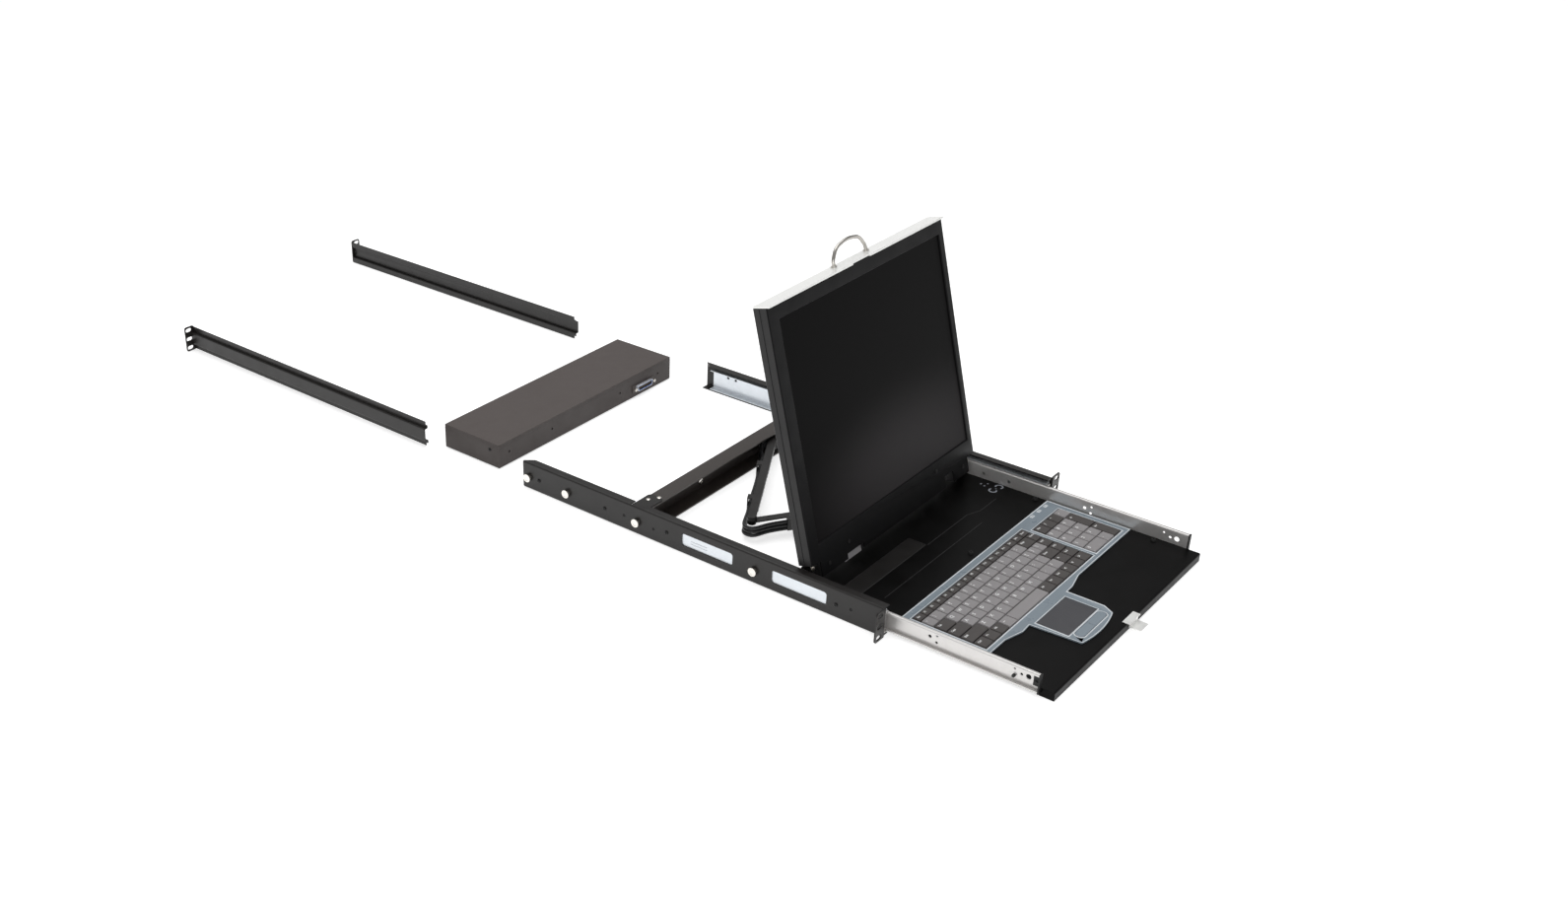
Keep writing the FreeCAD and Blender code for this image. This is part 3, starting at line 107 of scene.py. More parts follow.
# Faces this near to a piece's outermost point lie on its outer face, in metres
FACE_DEPTH = 0.0001


def placed(points):
    """Points given in millimetres above the ears' lower edge, as an array in the frame's metres."""
    return np.asarray(points, float) * MM - (0.0, 0.0, PANEL_HALF)


def at(x, y, z):
    return Vector(placed((x, y, z)))


# Shader nodes


def feed(tree, node, inputs):
    """Fills a node's inputs: a socket is linked, a plain value is set. In a name, _ stands for a space."""
    for key, value in inputs.items():
        target = node.inputs[key.replace("_", " ") if isinstance(key, str) else key]
        if isinstance(value, bpy.types.NodeSocket):
            tree.links.new(value, target)
        else:
            target.default_value = value
    return node


def new_node(tree, kind, **inputs):
    return feed(tree, tree.nodes.new("ShaderNode" + kind), inputs)


def calculate(tree, operation, *values, kind="Math", result=0):
    """The outcome of one operation on sockets and plain values."""
    node = tree.nodes.new("ShaderNode" + kind)
    node.operation = operation
    return feed(tree, node, dict(enumerate(values))).outputs[result]


def object_place(tree):
    return new_node(tree, "TexCoord").outputs["Object"]


def noise(tree, vector, scale, detail, roughness=0.5):
    """Soft grey noise, read at a vector."""
    node = new_node(tree, "TexNoise", Vector=vector, Scale=scale, Detail=detail, Roughness=roughness)
    return node.outputs["Fac"]


def map_range(tree, value, source, target, interpolation="LINEAR"):
    """A value carried from one range to another."""
    ends = {"From Min": source[0], "From Max": source[1], "To Min": target[0], "To Max": target[1]}
    node = new_node(tree, "MapRange", Value=value, **ends)
    node.interpolation_type = interpolation
    return node.outputs["Result"]


def shade_about(tree, value, middle, contrast):
    """A shade near 1: 1 + (value - middle) * contrast."""
    return calculate(tree, "MULTIPLY_ADD", calculate(tree, "SUBTRACT", value, middle), contrast, 1.0)


# Node groups that several finishes share


def new_group(name, inputs, outputs):
    """An empty shader node group: inputs by name and default, and outputs by name, all of them numbers."""
    group = bpy.data.node_groups.new(name, "ShaderNodeTree")
    sockets = group.interface
    for label, value in inputs.items():
        sockets.new_socket(name=label, in_out="INPUT", socket_type="NodeSocketFloat").default_value = value
    for label in outputs:
        sockets.new_socket(name=label, in_out="OUTPUT", socket_type="NodeSocketFloat")
    return group, group.nodes.new("NodeGroupInput").outputs, group.nodes.new("NodeGroupOutput")


def grain_group():
    """Orange peel and broad cloudiness: a height from fine noise, and a shade near 1 from coarse noise."""
    inputs = {"Grain Scale": 900.0, "Cloud Scale": 9.0, "Cloud Depth": 0.1}
    group, given, made = new_group("Coat grain", inputs, ("Height", "Shade"))
    place = object_place(group)
    coarse = noise(group, place, given["Cloud Scale"], 4.0, 0.6)
    shade = shade_about(group, coarse, 0.5, given["Cloud Depth"])
    feed(group, made, {"Height": noise(group, place, given["Grain Scale"], 2.0), "Shade": shade})


def drawn_group():
    """Lines left by rolling and drawing the metal: noise that is stretched along the length."""
    inputs = {"Across": 1400.0, "Along": 12.0, "Contrast": 0.2}
    group, given, made = new_group("Drawn metal", inputs, ("Height", "Shade"))
    place = object_place(group)
    stretch = new_node(group, "CombineXYZ", X=given["Across"], Y=given["Along"], Z=given["Across"])
    scaled = calculate(group, "MULTIPLY", place, stretch.outputs["Vector"], kind="VectorMath")
    lines = noise(group, scaled, 1.0, 3.0)
    both = calculate(group, "ADD", lines, noise(group, place, 22.0, 3.0))
    feed(group, made, {"Height": lines, "Shade": shade_about(group, both, 1.0, given["Contrast"])})


def spangle_group():
    """The faint crystals of zinc plating: cells whose shade differs a little."""
    group, given, made = new_group("Zinc spangle", {"Cell Scale": 260.0, "Contrast": 0.1}, ("Shade",))
    cells = new_node(group, "TexVoronoi", Vector=object_place(group), Scale=given["Cell Scale"])
    split = new_node(group, "SeparateColor", Color=cells.outputs["Color"])
    feed(group, made, {"Shade": shade_about(group, split.outputs["Red"], 0.5, given["Contrast"])})


def group_outputs(tree, name, **inputs):
    """The outputs of a shared group that is placed in a material with its own values."""
    node = new_node(tree, "Group")
    node.node_tree = bpy.data.node_groups[name]
    return feed(tree, node, inputs).outputs


# Finishes


def finish(name):
    return bpy.data.materials[name]


def new_finish(name, colour, roughness, metallic=0.0, specular=0.5):
    """A material with one Principled shader; returns its tree and the shader."""
    material = bpy.data.materials.new(name)
    material.use_nodes = True
    material.diffuse_color = (*colour, 1.0)
    tree = material.node_tree
    inputs = {"Base Color": (*colour, 1.0), "Roughness": roughness, "Metallic": metallic}
    inputs["Specular IOR Level"] = specular
    return tree, feed(tree, tree.nodes["Principled BSDF"], inputs)


def shade_colour(tree, shader, colour, shade):
    """Base colour = the finish's colour times a shade that changes over the surface."""
    scale = tree.nodes.new("ShaderNodeVectorMath")
    scale.operation = "SCALE"
    feed(tree, scale, {0: colour, "Scale": shade})
    feed(tree, shader, {"Base Color": scale.outputs["Vector"]})


def vary_roughness(tree, shader, roughness, spread, scale):
    """Roughness = its middle value plus or minus half the spread, from soft noise."""
    clouds = noise(tree, object_place(tree), scale, 3.0)
    ends = (roughness - spread / 2, roughness + spread / 2)
    feed(tree, shader, {"Roughness": map_range(tree, clouds, (0.3, 0.7), ends)})


def add_bump(tree, shader, height, strength, distance):
    bump = new_node(tree, "Bump", Strength=strength, Distance=distance, Height=height)
    feed(tree, shader, {"Normal": bump.outputs["Normal"]})


def coated_finish(name, colour, roughness, grain_scale, depth, cloud, specular):
    """Stoved paint or moulded plastic: fine grain in the height, broad clouds in the shade."""
    tree, shader = new_finish(name, colour, roughness, specular=specular)
    grain = group_outputs(tree, "Coat grain", Grain_Scale=grain_scale, Cloud_Scale=11.0, Cloud_Depth=cloud)
    shade_colour(tree, shader, colour, grain["Shade"])
    vary_roughness(tree, shader, roughness, 0.12, 35.0)
    add_bump(tree, shader, grain["Height"], 0.5, depth)


def metal_finish(name, colour, roughness, across, contrast, spangle, metallic):
    """Bare or plated metal with drawing lines, and spangle where it is zinc."""
    tree, shader = new_finish(name, colour, roughness, metallic)
    lines = group_outputs(tree, "Drawn metal", Across=across, Along=14.0, Contrast=contrast)
    shade = lines["Shade"]
    if spangle:
        cells = group_outputs(tree, "Zinc spangle", Cell_Scale=240.0, Contrast=spangle)
        shade = calculate(tree, "MULTIPLY", shade, cells["Shade"])
    shade_colour(tree, shader, colour, shade)
    vary_roughness(tree, shader, roughness, 0.1, 60.0)
    add_bump(tree, shader, lines["Height"], 0.25, 0.00003)


def screen_finish(name, colour, reflection_at, reflection_shape, reflection_radius):
    """A switched-off screen: a matt skin, and a painted reflection: a pale patch in its colour, wider than
    high, that fades out.
    """
    tree, shader = new_finish(name, colour, 0.38, specular=0.03)
    grain = group_outputs(tree, "Coat grain", Grain_Scale=4200.0, Cloud_Scale=3.0, Cloud_Depth=0.25)
    offset = calculate(tree, "SUBTRACT", object_place(tree), reflection_at, kind="VectorMath")
    scaled = calculate(tree, "MULTIPLY", offset, reflection_shape, kind="VectorMath")
    away = calculate(tree, "LENGTH", scaled, kind="VectorMath", result="Value")
    # Painted reflection: the colour rises to about fourteen times its own at the patch's middle and fades to
    # nothing at the radius
    painted_reflection = map_range(tree, away, (0.0, reflection_radius), (13.0, 0.0), "SMOOTHERSTEP")
    shade_colour(tree, shader, colour, calculate(tree, "ADD", painted_reflection, grain["Shade"]))
    add_bump(tree, shader, grain["Height"], 0.3, 0.00001)


def jacket_finish(name, colour):
    """Black lead jacket: soft plastic with faint rings from the extrusion, read along the UV map."""
    tree, shader = new_finish(name, colour, 0.42, specular=0.45)
    along = new_node(tree, "UVMap")
    along.uv_map = "run"
    rings = noise(tree, along.outputs["UV"], 60.0, 3.0)
    shade_colour(tree, shader, colour, map_range(tree, rings, (0.0, 1.0), (0.75, 1.25)))
    vary_roughness(tree, shader, 0.42, 0.14, 90.0)
    add_bump(tree, shader, rings, 0.25, 0.00008)


def tint(name, description, *default):
    return FloatVectorProperty(name=name, description=description, subtype="COLOR", default=default)


def measure(name, description, default):
    return FloatProperty(name=name, description=description, subtype="DISTANCE", default=default)


def turn(name, description, degrees):
    return FloatProperty(name=name, description=description, subtype="ANGLE", default=math.radians(degrees))


class ConsoleColours(bpy.types.PropertyGroup):
    """Colours of the drawer's finishes, as linear values."""

    rail: tint("Rail paint", "Semi-gloss black of the rails", 0.013, 0.0115, 0.0108)
    tray: tint("Tray paint", "Satin black of the tray", 0.0022, 0.0020, 0.0020)
    lid: tint("Lid plastic", "Black of the screen housing", 0.009, 0.0086, 0.0088)
    bezel: tint("Bezel skin", "Black round the screen", 0.0035, 0.0034, 0.0038)
    crossbar: tint("Crossbar paint", "Brown black of the bar", 0.042, 0.034, 0.030)
    module: tint("Module paint", "Brown black of the module", 0.082, 0.067, 0.062)
    # Painted shade: a darker copy of the module paint for the sides, which take less light than the top
    module_wall_shade: tint("Module wall", "The module's sides", 0.054, 0.044, 0.041)
    zinc: tint("Zinc", "Plated slides and links", 0.72, 0.705, 0.69)
    outer_zinc: tint("Outer zinc", "Outer slides", 0.80, 0.84, 0.88)
    nickel: tint("Nickel", "Studs, handle and pins", 0.86, 0.83, 0.78)
    front_silver: tint("Front silver", "Bright front panel of the lid", 0.97, 0.97, 0.95)
    keyboard: tint("Keyboard case", "Blue silver of the bezel", 0.25, 0.30, 0.345)
    # Painted highlight: a pale copy of the case's blue silver along the raised edges
    keyboard_rim_highlight: tint("Keyboard rim", "Pale raised edges of the bezel", 0.74, 0.78, 0.81)
    key_grey: tint("Grey keys", "Plastic of the letter keys", 0.315, 0.300, 0.305)
    key_dark: tint("Dark keys", "Plastic of the command keys", 0.070, 0.062, 0.059)
    legend: tint("Legends", "White print on the keys", 0.86, 0.86, 0.86)
    touchpad: tint("Touchpad", "Slate skin of the touchpad", 0.060, 0.060, 0.068)
    connector: tint("Connector blue", "Insulator of the socket", 0.010, 0.085, 0.36)


class ConsoleShapes(bpy.types.PropertyGroup):
    """Sizes of the small forms that the finishing adds."""

    sheet_edge: measure("Sheet edge", "Rounding of cut sheet edges", 0.00025)
    cap_height: measure("Cap height", "Height of a key cap over its skirt", 0.0038)
    cap_taper: measure("Cap taper", "How far a cap's side leans in", 0.0006)
    cap_corner: measure("Cap corner", "Corner radius of a cap's top", 0.0011)
    cap_dish: measure("Cap dish", "Depth of the hollow in a cap's top", 0.0003)
    legend_size: measure("Legend size", "Height of the legends' capitals", 0.0068)
    rim_width: measure("Rim width", "Width of the keyboard's raised edges", 0.0016)
    rim_height: measure("Rim height", "How far the bezel's face lies under its edges", 0.0005)
    lead_radius: measure("Lead radius", "Radius of the arm's leads", 0.0026)
    tube_sides: IntProperty(name="Tube sides", description="Points round a tube", default=18)


class ConsoleStudio(bpy.types.PropertyGroup):
    """Camera and lamps."""

    azimuth: turn("Azimuth", "Camera's angle round the drawer", -48.800781)
    elevation: turn("Elevation", "Camera's angle over the floor", 29.404377)
    roll: turn("Roll", "Camera's turn about its view", -0.638997)
    distance: measure("Distance", "Camera to its target", 2.382419)
    lens: FloatProperty(name="Lens", description="Focal length in millimetres", default=38.605)
    key_power: FloatProperty(name="Key lamp", description="Main soft lamp's power in watts", default=26.0)
    fill_power: FloatProperty(name="Fill lamp", description="Side soft lamp's power in watts", default=10.0)
    sky: FloatProperty(name="Sky", description="Strength of the surrounding light", default=1.0)


# Mesh helpers


def new_object(name, data):
    made = bpy.data.objects.new(name, data)
    bpy.context.scene.collection.objects.link(made)
    return made


def add_piece(name, mesh, body, slot, *finishes):
    """Links a finished mesh as a piece that rides on a body."""
    piece = new_object(name, mesh)
    for finish_name in finishes:
        mesh.materials.append(finish(finish_name))
    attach(piece, body)
    return piece


def joined_mesh(name, blocks):
    """One mesh from blocks of points and faces, each numbered from 0, with its normals turned outwards."""
    faces, start = [], 0
    for points, polygons in blocks:
        faces += [[index + start for index in polygon] for polygon in polygons]
        start += len(points)
    mesh = bpy.data.meshes.new(name)
    mesh.from_pydata(np.vstack([points for points, _ in blocks]).tolist(), [], faces)
    work = bmesh.new()
    work.from_mesh(mesh)
    bmesh.ops.recalc_face_normals(work, faces=work.faces)
    work.to_mesh(mesh)
    work.free()
    return mesh


def smooth_by_angle(mesh, degrees):
    mesh.shade_smooth()
    mesh.set_sharp_from_angle(angle=math.radians(degrees))


def shell(rings):
    """A closed skin over an array of rings of points: quads between them, and a face over each end."""
    rows, columns = rings.shape[:2]
    row = np.arange(rows - 1)[:, None] * columns
    column = np.arange(columns)[None, :]
    following = (column + 1) % columns
    after = row + columns
    quads = np.stack([row + column, row + following, after + following, after + column], axis=-1)
    first = list(range(columns))[::-1]
    last = list(range((rows - 1) * columns, rows * columns))
    return rings.reshape(-1, 3), quads.reshape(-1, 4).tolist() + [first, last]


def node_body(node):
    """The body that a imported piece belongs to."""
    return frame["nodes"][node]["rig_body"]


def merged_copy(node):
    """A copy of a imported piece's mesh with its doubled points merged and its flat faces joined."""
    mesh = frame["nodes"][node].data.copy()
    mesh.materials.clear()
    work = bmesh.new()
    work.from_mesh(mesh)
    bmesh.ops.remove_doubles(work, verts=work.verts, dist=WELD)
    bmesh.ops.dissolve_limit(work, angle_limit=math.radians(0.5), verts=work.verts, edges=work.edges)
    work.to_mesh(mesh)
    work.free()
    return mesh


def round_edges(piece, width, segments, degrees):
    """Gives a piece's sharp edges a small bevel."""
    bevel = piece.modifiers.new("Edge rounding", "BEVEL")
    bevel.width = width
    bevel.segments = segments
    bevel.limit_method = "ANGLE"
    bevel.angle_limit = math.radians(degrees)
    return bevel


def refine(node, slot, finishes, edge, segments=2, choose=None):
    """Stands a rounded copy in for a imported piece.

    Where there are several finishes, choose gives a face's finish from the face's centre."""
    mesh = merged_copy(node)
    mesh.name = node + "_finish"
    piece = add_piece(mesh.name, mesh, node_body(node), slot, *finishes)
    if choose:
        picks = [choose(polygon.center) for polygon in mesh.polygons]
        mesh.polygons.foreach_set("material_index", np.array(picks, np.int32))
    smooth_by_angle(mesh, 35)
    bevel = round_edges(piece, edge, segments, 32)
    bevel.harden_normals = True
    bevel.use_clamp_overlap = True
    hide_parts(node)
    return piece


def sunk_piece(node, name, slot, finishes, outward, steps, inner, smooth):
    """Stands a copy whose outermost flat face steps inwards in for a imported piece.

    Each step is its width, its depth and the number of its finish; inner is the finish of what is left."""
    mesh = merged_copy(node)
    mesh.name = name
    work = bmesh.new()
    work.from_mesh(mesh)
    outward = Vector(outward)
    level = max(vertex.co.dot(outward) for vertex in work.verts) - FACE_DEPTH
    flat = [face for face in work.faces if face.normal.dot(outward) > 0.9]
    flat = [face for face in flat if face.calc_center_median().dot(outward) > level]
    for width, depth, number in steps:
        ring = bmesh.ops.inset_region(work, faces=flat, thickness=width, depth=depth, use_even_offset=True)
        for face in ring["faces"]:
            face.material_index = number
    for face in flat:
        face.material_index = inner
    work.to_mesh(mesh)
    work.free()
    smooth_by_angle(mesh, smooth)
    piece = add_piece(name, mesh, node_body(node), slot, *finishes)
    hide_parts(node)
    return piece


def islands(node):
    """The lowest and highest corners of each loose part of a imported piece, as two arrays."""
    work = bmesh.new()
    work.from_mesh(frame["nodes"][node].data)
    bmesh.ops.remove_doubles(work, verts=work.verts, dist=WELD)
    work.verts.ensure_lookup_table()
    label = {}
    lows, highs = [], []
    for first in work.verts:
        if first.index in label:
            continue
        label[first.index] = True
        group, waiting = [], [first]
        while waiting:
            vertex = waiting.pop()
            group.append(vertex.co.copy())
            for edge in vertex.link_edges:
                other = edge.other_vert(vertex)
                if other.index not in label:
                    label[other.index] = True
                    waiting.append(other)
        corners = np.array(group)
        lows.append(corners.min(0))
        highs.append(corners.max(0))
    work.free()
    return np.array(lows), np.array(highs)


def tube_points(path, radius, sides):
    """A tube: at each path point, a circle in the plane across the path, carried by parallel transport.

    point(i, j) = path(i) + radius * (cos(a_j) * u_i + sin(a_j) * w_i)."""
    tangents = np.gradient(path, axis=0)
    tangents /= np.linalg.norm(tangents, axis=1)[:, None]
    side = np.cross(tangents[0], (0.0, 0.0, 1.0))
    if np.linalg.norm(side) < 1e-6:
        side = np.array((1.0, 0.0, 0.0))
    frames = []
    for tangent in tangents:
        side = side - tangent * (side @ tangent)
        side = side / np.linalg.norm(side)
        frames.append(side)
    u = np.array(frames)
    w = np.cross(tangents, u)
    angles = np.linspace(0, 2 * math.pi, sides, endpoint=False)
    ring = np.cos(angles)[None, :, None] * u[:, None, :] + np.sin(angles)[None, :, None] * w[:, None, :]
    return path[:, None, :] + radius * ring


def spline(points, steps):
    """A smooth line through the middle of a control polygon: a uniform cubic B-spline with held ends.

    On each span, p(t) = sum of four neighbours times the cubic basis ((1-t)^3, 3t^3-6t^2+4, ...) / 6."""
    p = np.array(points, float)
    p = np.vstack([2 * p[0] - p[1], p, 2 * p[-1] - p[-2]])
    t = np.linspace(0, 1, steps, endpoint=False)[:, None, None]
    basis = ((1 - t) ** 3, 3 * t**3 - 6 * t**2 + 4, -3 * t**3 + 3 * t**2 + 3 * t + 1, t**3)
    spans = sum(b * p[i : len(p) - 3 + i][None] for i, b in enumerate(basis)) / 6
    line = spans.transpose(1, 0, 2).reshape(-1, 3)
    return np.vstack([line, p[-2]])


def tube_mesh(name, paths, radius, sides):
    """Several tubes in one mesh, each a skin over the rings along its path, with a UV map along it."""
    mesh = joined_mesh(name, [shell(tube_points(path, radius, sides)) for path in paths])
    smooth_by_angle(mesh, 50)
    steps = [np.linalg.norm(np.diff(path, axis=0), axis=1) for path in paths]
    along = np.concatenate([np.repeat(np.concatenate([[0], np.cumsum(step)]), sides) for step in steps])
    corner_vertex = np.zeros(len(mesh.loops), np.int32)
    mesh.loops.foreach_get("vertex_index", corner_vertex)
    layer = mesh.uv_layers.new(name="run")
    around = (corner_vertex % sides) / sides
    uv = np.stack([around * 2 * math.pi * radius, along[corner_vertex]], axis=1)
    layer.data.foreach_set("uv", uv.astype(np.float32).ravel())
    return mesh


def rounded_ring(half_x, half_y, radius, per_corner):
    """A rounded rectangle: quarter circles of the radius about its inset corners, joined by straight runs."""
    signs = np.array(((1, 1), (-1, 1), (-1, -1), (1, -1)), float)
    quarter = np.linspace(0, math.pi / 2, per_corner)
    angles = (np.arange(4)[:, None] * math.pi / 2 + quarter[None, :]).reshape(-1)
    corners = np.repeat(signs * (half_x - radius, half_y - radius), per_corner, axis=0)
    return corners + radius * np.stack([np.cos(angles), np.sin(angles)], axis=1)


# The stage

# Half the side of the floor, in metres
FLOOR_REACH = 30.0
# Height of a direction above the horizon (its Z) and the grey of the studio there
SKY_LEVELS = ((0.0, 0.95), (0.16, 0.85), (0.34, 0.34), (0.52, 0.24), (0.75, 0.42), (1.0, 0.6))
# What the camera looks at, in millimetres, and the shift of its picture as shares of the picture's width
CAMERA_TARGET = (-223.431, 499.670, 20.0)
CAMERA_SHIFT = (0.12980, 0.03077)
# Soft lamps: their places from the object's middle and the sides of their squares, in metres
KEY_LAMP = ((0.4, 0.3, 1.9), 2.4)
FILL_LAMP = ((-1.6, -1.5, 0.9), 1.4)


def seen_rays(tree):
    """1 on rays that show the surroundings, from the camera, off gloss or through glass, and 0 on others."""
    rays = new_node(tree, "LightPath").outputs
    total = calculate(tree, "MAXIMUM", rays["Is Camera Ray"], rays["Is Glossy Ray"])
    return calculate(tree, "MAXIMUM", total, rays["Is Transmission Ray"])


def make_floor(low):
    """A wide pale floor under the part, white to the camera but for the shadows that fall on it."""
    mesh = bpy.data.meshes.new("floor")
    corners = [(x * FLOOR_REACH, y * FLOOR_REACH, low) for x, y in ((-1, -1), (1, -1), (1, 1), (-1, 1))]
    mesh.from_pydata(corners, [], [(0, 1, 2, 3)])
    new_object("floor", mesh)
    tree, shader = new_finish("Floor paper", (0.86, 0.86, 0.86), 0.9, specular=0.0)
    lift = calculate(tree, "MULTIPLY", seen_rays(tree), 0.6)
    feed(tree, shader, {"Emission Color": (1, 1, 1, 1), "Emission Strength": lift})
    mesh.materials.append(finish("Floor paper"))


def make_sky(strength):
    """The surroundings: a white horizon under a dim ceiling, and plain white to the camera."""
    world = bpy.data.worlds.new("Studio")
    bpy.context.scene.world = world
    world.use_nodes = True
    tree = world.node_tree
    split = new_node(tree, "SeparateXYZ", Vector=new_node(tree, "TexCoord").outputs["Generated"])
    ramp = new_node(tree, "ValToRGB", Fac=split.outputs["Z"])
    points = ramp.color_ramp.elements
    for number, (height, level) in enumerate(SKY_LEVELS):
        point = points[number] if number < 2 else points.new(height)
        point.position = height
        point.color = (level, level, level, 1)
    scaled = calculate(tree, "MULTIPLY", ramp.outputs["Color"], strength)
    shown = calculate(tree, "MAXIMUM", scaled, new_node(tree, "LightPath").outputs["Is Camera Ray"])
    feed(tree, tree.nodes["Background"], {"Color": (1, 1, 1, 1), "Strength": shown})


def make_lamp(name, target, place, side, power):
    """A square soft lamp that faces its target, at a place counted from it."""
    data = bpy.data.lights.new(name, "AREA")
    data.shape = "RECTANGLE"
    data.size = side
    data.size_y = side
    data.energy = power
    lamp = new_object(name, data)
    lamp.location = target + Vector(place)
    lamp.rotation_mode = "QUATERNION"
    lamp.rotation_quaternion = (lamp.location - target).to_track_quat("Z", "Y")


def make_camera(studio):
    """back = (sin a cos e, -cos a cos e, sin e); the camera's own axes are turned about it by the roll."""
    a, e, r = studio.azimuth, studio.elevation, studio.roll
    back = Vector((math.sin(a) * math.cos(e), -math.cos(a) * math.cos(e), math.sin(e)))
    right = Vector((math.cos(a), math.sin(a), 0))
    up = back.cross(right)
    across = right * math.cos(r) + up * math.sin(r)
    upward = up * math.cos(r) - right * math.sin(r)
    data = bpy.data.cameras.new("camera")
    data.sensor_width = 36
    data.lens = studio.lens
    data.shift_x, data.shift_y = CAMERA_SHIFT
    data.clip_start = 0.05
    data.clip_end = 100
    camera = new_object("camera", data)
    rotation = Matrix((across, upward, back)).transposed().to_4x4()
    camera.matrix_world = Matrix.Translation(at(*CAMERA_TARGET) + back * studio.distance) @ rotation
    bpy.context.scene.camera = camera


class CONSOLE_OT_stage(bpy.types.Operator):
    """Sets the camera, the pale floor and the soft lamps"""

    bl_idname = "console.stage"
    bl_label = "Studio"

    def execute(self, context):
        studio = context.scene.console_studio
        context.scene.view_settings.view_transform = "Standard"
        low, high = CAD_BOX
        make_camera(studio)
        make_floor(low.z)
        make_sky(studio.sky)
        middle = (low + high) / 2
        make_lamp("Key lamp", middle, *KEY_LAMP, studio.key_power)
        make_lamp("Fill lamp", middle, *FILL_LAMP, studio.fill_power)
        return {"FINISHED"}


# Paints and plastics: name, colour or the setting that holds it, roughness, grain scale, depth of the grain
# in metres, depth of the clouds and specular level
COATS = (
    ("Rail paint", "rail", 0.36, 1500.0, 0.00004, 0.12, 0.42),
    ("Tray paint", "tray", 0.34, 1800.0, 0.00002, 0.12, 0.09),
    ("Lid plastic", "lid", 0.42, 2200.0, 0.00004, 0.12, 0.4),
    ("Bezel skin", "bezel", 0.42, 2200.0, 0.00003, 0.12, 0.1),
    ("Crossbar paint", "crossbar", 0.44, 1300.0, 0.00006, 0.12, 0.5),
    ("Module paint", "module", 0.48, 1300.0, 0.00006, 0.12, 0.45),
    # A darker copy of the module paint, as painted shade on the module's sides
    ("Module wall", "module_wall_shade", 0.5, 1300.0, 0.00006, 0.12, 0.35),
    ("Screw black", (0.005, 0.005, 0.005), 0.35, 2500.0, 0.00002, 0.12, 0.3),
    ("Deck strip", (0.010, 0.009, 0.0085), 0.34, 2600.0, 0.00001, 0.12, 0.3),
    ("Engraving", (0.045, 0.045, 0.045), 0.5, 2600.0, 0.00001, 0.12, 0.2),
    ("Black plastic", (0.010, 0.010, 0.010), 0.5, 2400.0, 0.00004, 0.12, 0.35),
    ("Rubber", (0.012, 0.012, 0.012), 0.72, 2000.0, 0.00006, 0.12, 0.3),
    ("Keyboard case", "keyboard", 0.3, 2600.0, 0.00002, 0.06, 0.5),
    # A pale copy of the keyboard case, as a painted highlight on its raised rim
    ("Keyboard rim", "keyboard_rim_highlight", 0.2, 2600.0, 0.00001, 0.04, 0.5),
    ("Key grey", "key_grey", 0.5, 3200.0, 0.00004, 0.05, 0.5),
    ("Key dark", "key_dark", 0.5, 3200.0, 0.00004, 0.05, 0.5),
    ("Legend print", "legend", 0.5, 3200.0, 0.00001, 0.04, 0.5),
    ("Deck print", (0.30, 0.32, 0.36), 0.5, 3200.0, 0.00001, 0.04, 0.5),
    ("Touchpad", "touchpad", 0.55, 5200.0, 0.00003, 0.06, 0.5),
    ("Lamp window", (0.55, 0.60, 0.62), 0.25, 2600.0, 0.00001, 0.12, 0.5),
    ("Grey plate", (0.30, 0.29, 0.30), 0.42, 2000.0, 0.00003, 0.12, 0.5),
    ("Connector blue", "connector", 0.38, 2400.0, 0.00002, 0.12, 0.5),
    # Painted shade: a dark copy of the connector blue for the slot's walls and floor
    ("Connector slot shade", (0.004, 0.008, 0.03), 0.5, 2400.0, 0.00002, 0.12, 0.2),
)
# Metals: name, colour or the setting that holds it, roughness, lines across, contrast of the lines, contrast
# of the spangle and metallic share
METALS = (
    ("Zinc", "zinc", 0.34, 240.0, 0.05, 0.03, 0.65),
    ("Outer zinc", "outer_zinc", 0.36, 240.0, 0.05, 0.03, 0.65),
    ("Nickel", "nickel", 0.2, 500.0, 0.05, 0.0, 1.0),
    ("Bright tin", (0.82, 0.86, 0.94), 0.3, 500.0, 0.04, 0.0, 0.45),
    ("Front silver", "front_silver", 0.34, 900.0, 0.04, 0.0, 0.5),
    ("Steel wire", (0.50, 0.48, 0.45), 0.16, 500.0, 0.05, 0.0, 1.0),
    ("Gold flash", (0.40, 0.29, 0.13), 0.3, 900.0, 0.06, 0.0, 1.0),
)
# The screen's painted reflection, a pale patch painted into its colour: place as shares of the panel's width
# and height, stretch, and radius in metres
PAINTED_REFLECTION_PLACE = (0.62, 0.12)
PAINTED_REFLECTION_STRETCH = (0.5, 0.0, 1.2)
PAINTED_REFLECTION_RADIUS = 0.17


class CONSOLE_OT_finishes(bpy.types.Operator):
    """Mixes the paints, platings and plastics"""

    bl_idname = "console.finishes"
    bl_label = "Finishes"

    def execute(self, context):
        colours = context.scene.console_colours
        grain_group()
        drawn_group()
        spangle_group()
        for mix, table in ((coated_finish, COATS), (metal_finish, METALS)):
            for name, colour, *rest in table:
                mix(name, tuple(getattr(colours, colour)) if isinstance(colour, str) else colour, *rest)
        low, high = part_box("lcd_panel")
        # Middle of the painted reflection on the screen
        across, upward = PAINTED_REFLECTION_PLACE
        reflection_centre = low + Vector(((high.x - low.x) * across, 0, (high.z - low.z) * upward))
        screen_finish("Screen", (0.0028, 0.0026, 0.0027), reflection_centre, PAINTED_REFLECTION_STRETCH, PAINTED_REFLECTION_RADIUS)
        jacket_finish("Lead jacket", (0.016, 0.0165, 0.0175))
        return {"FINISHED"}


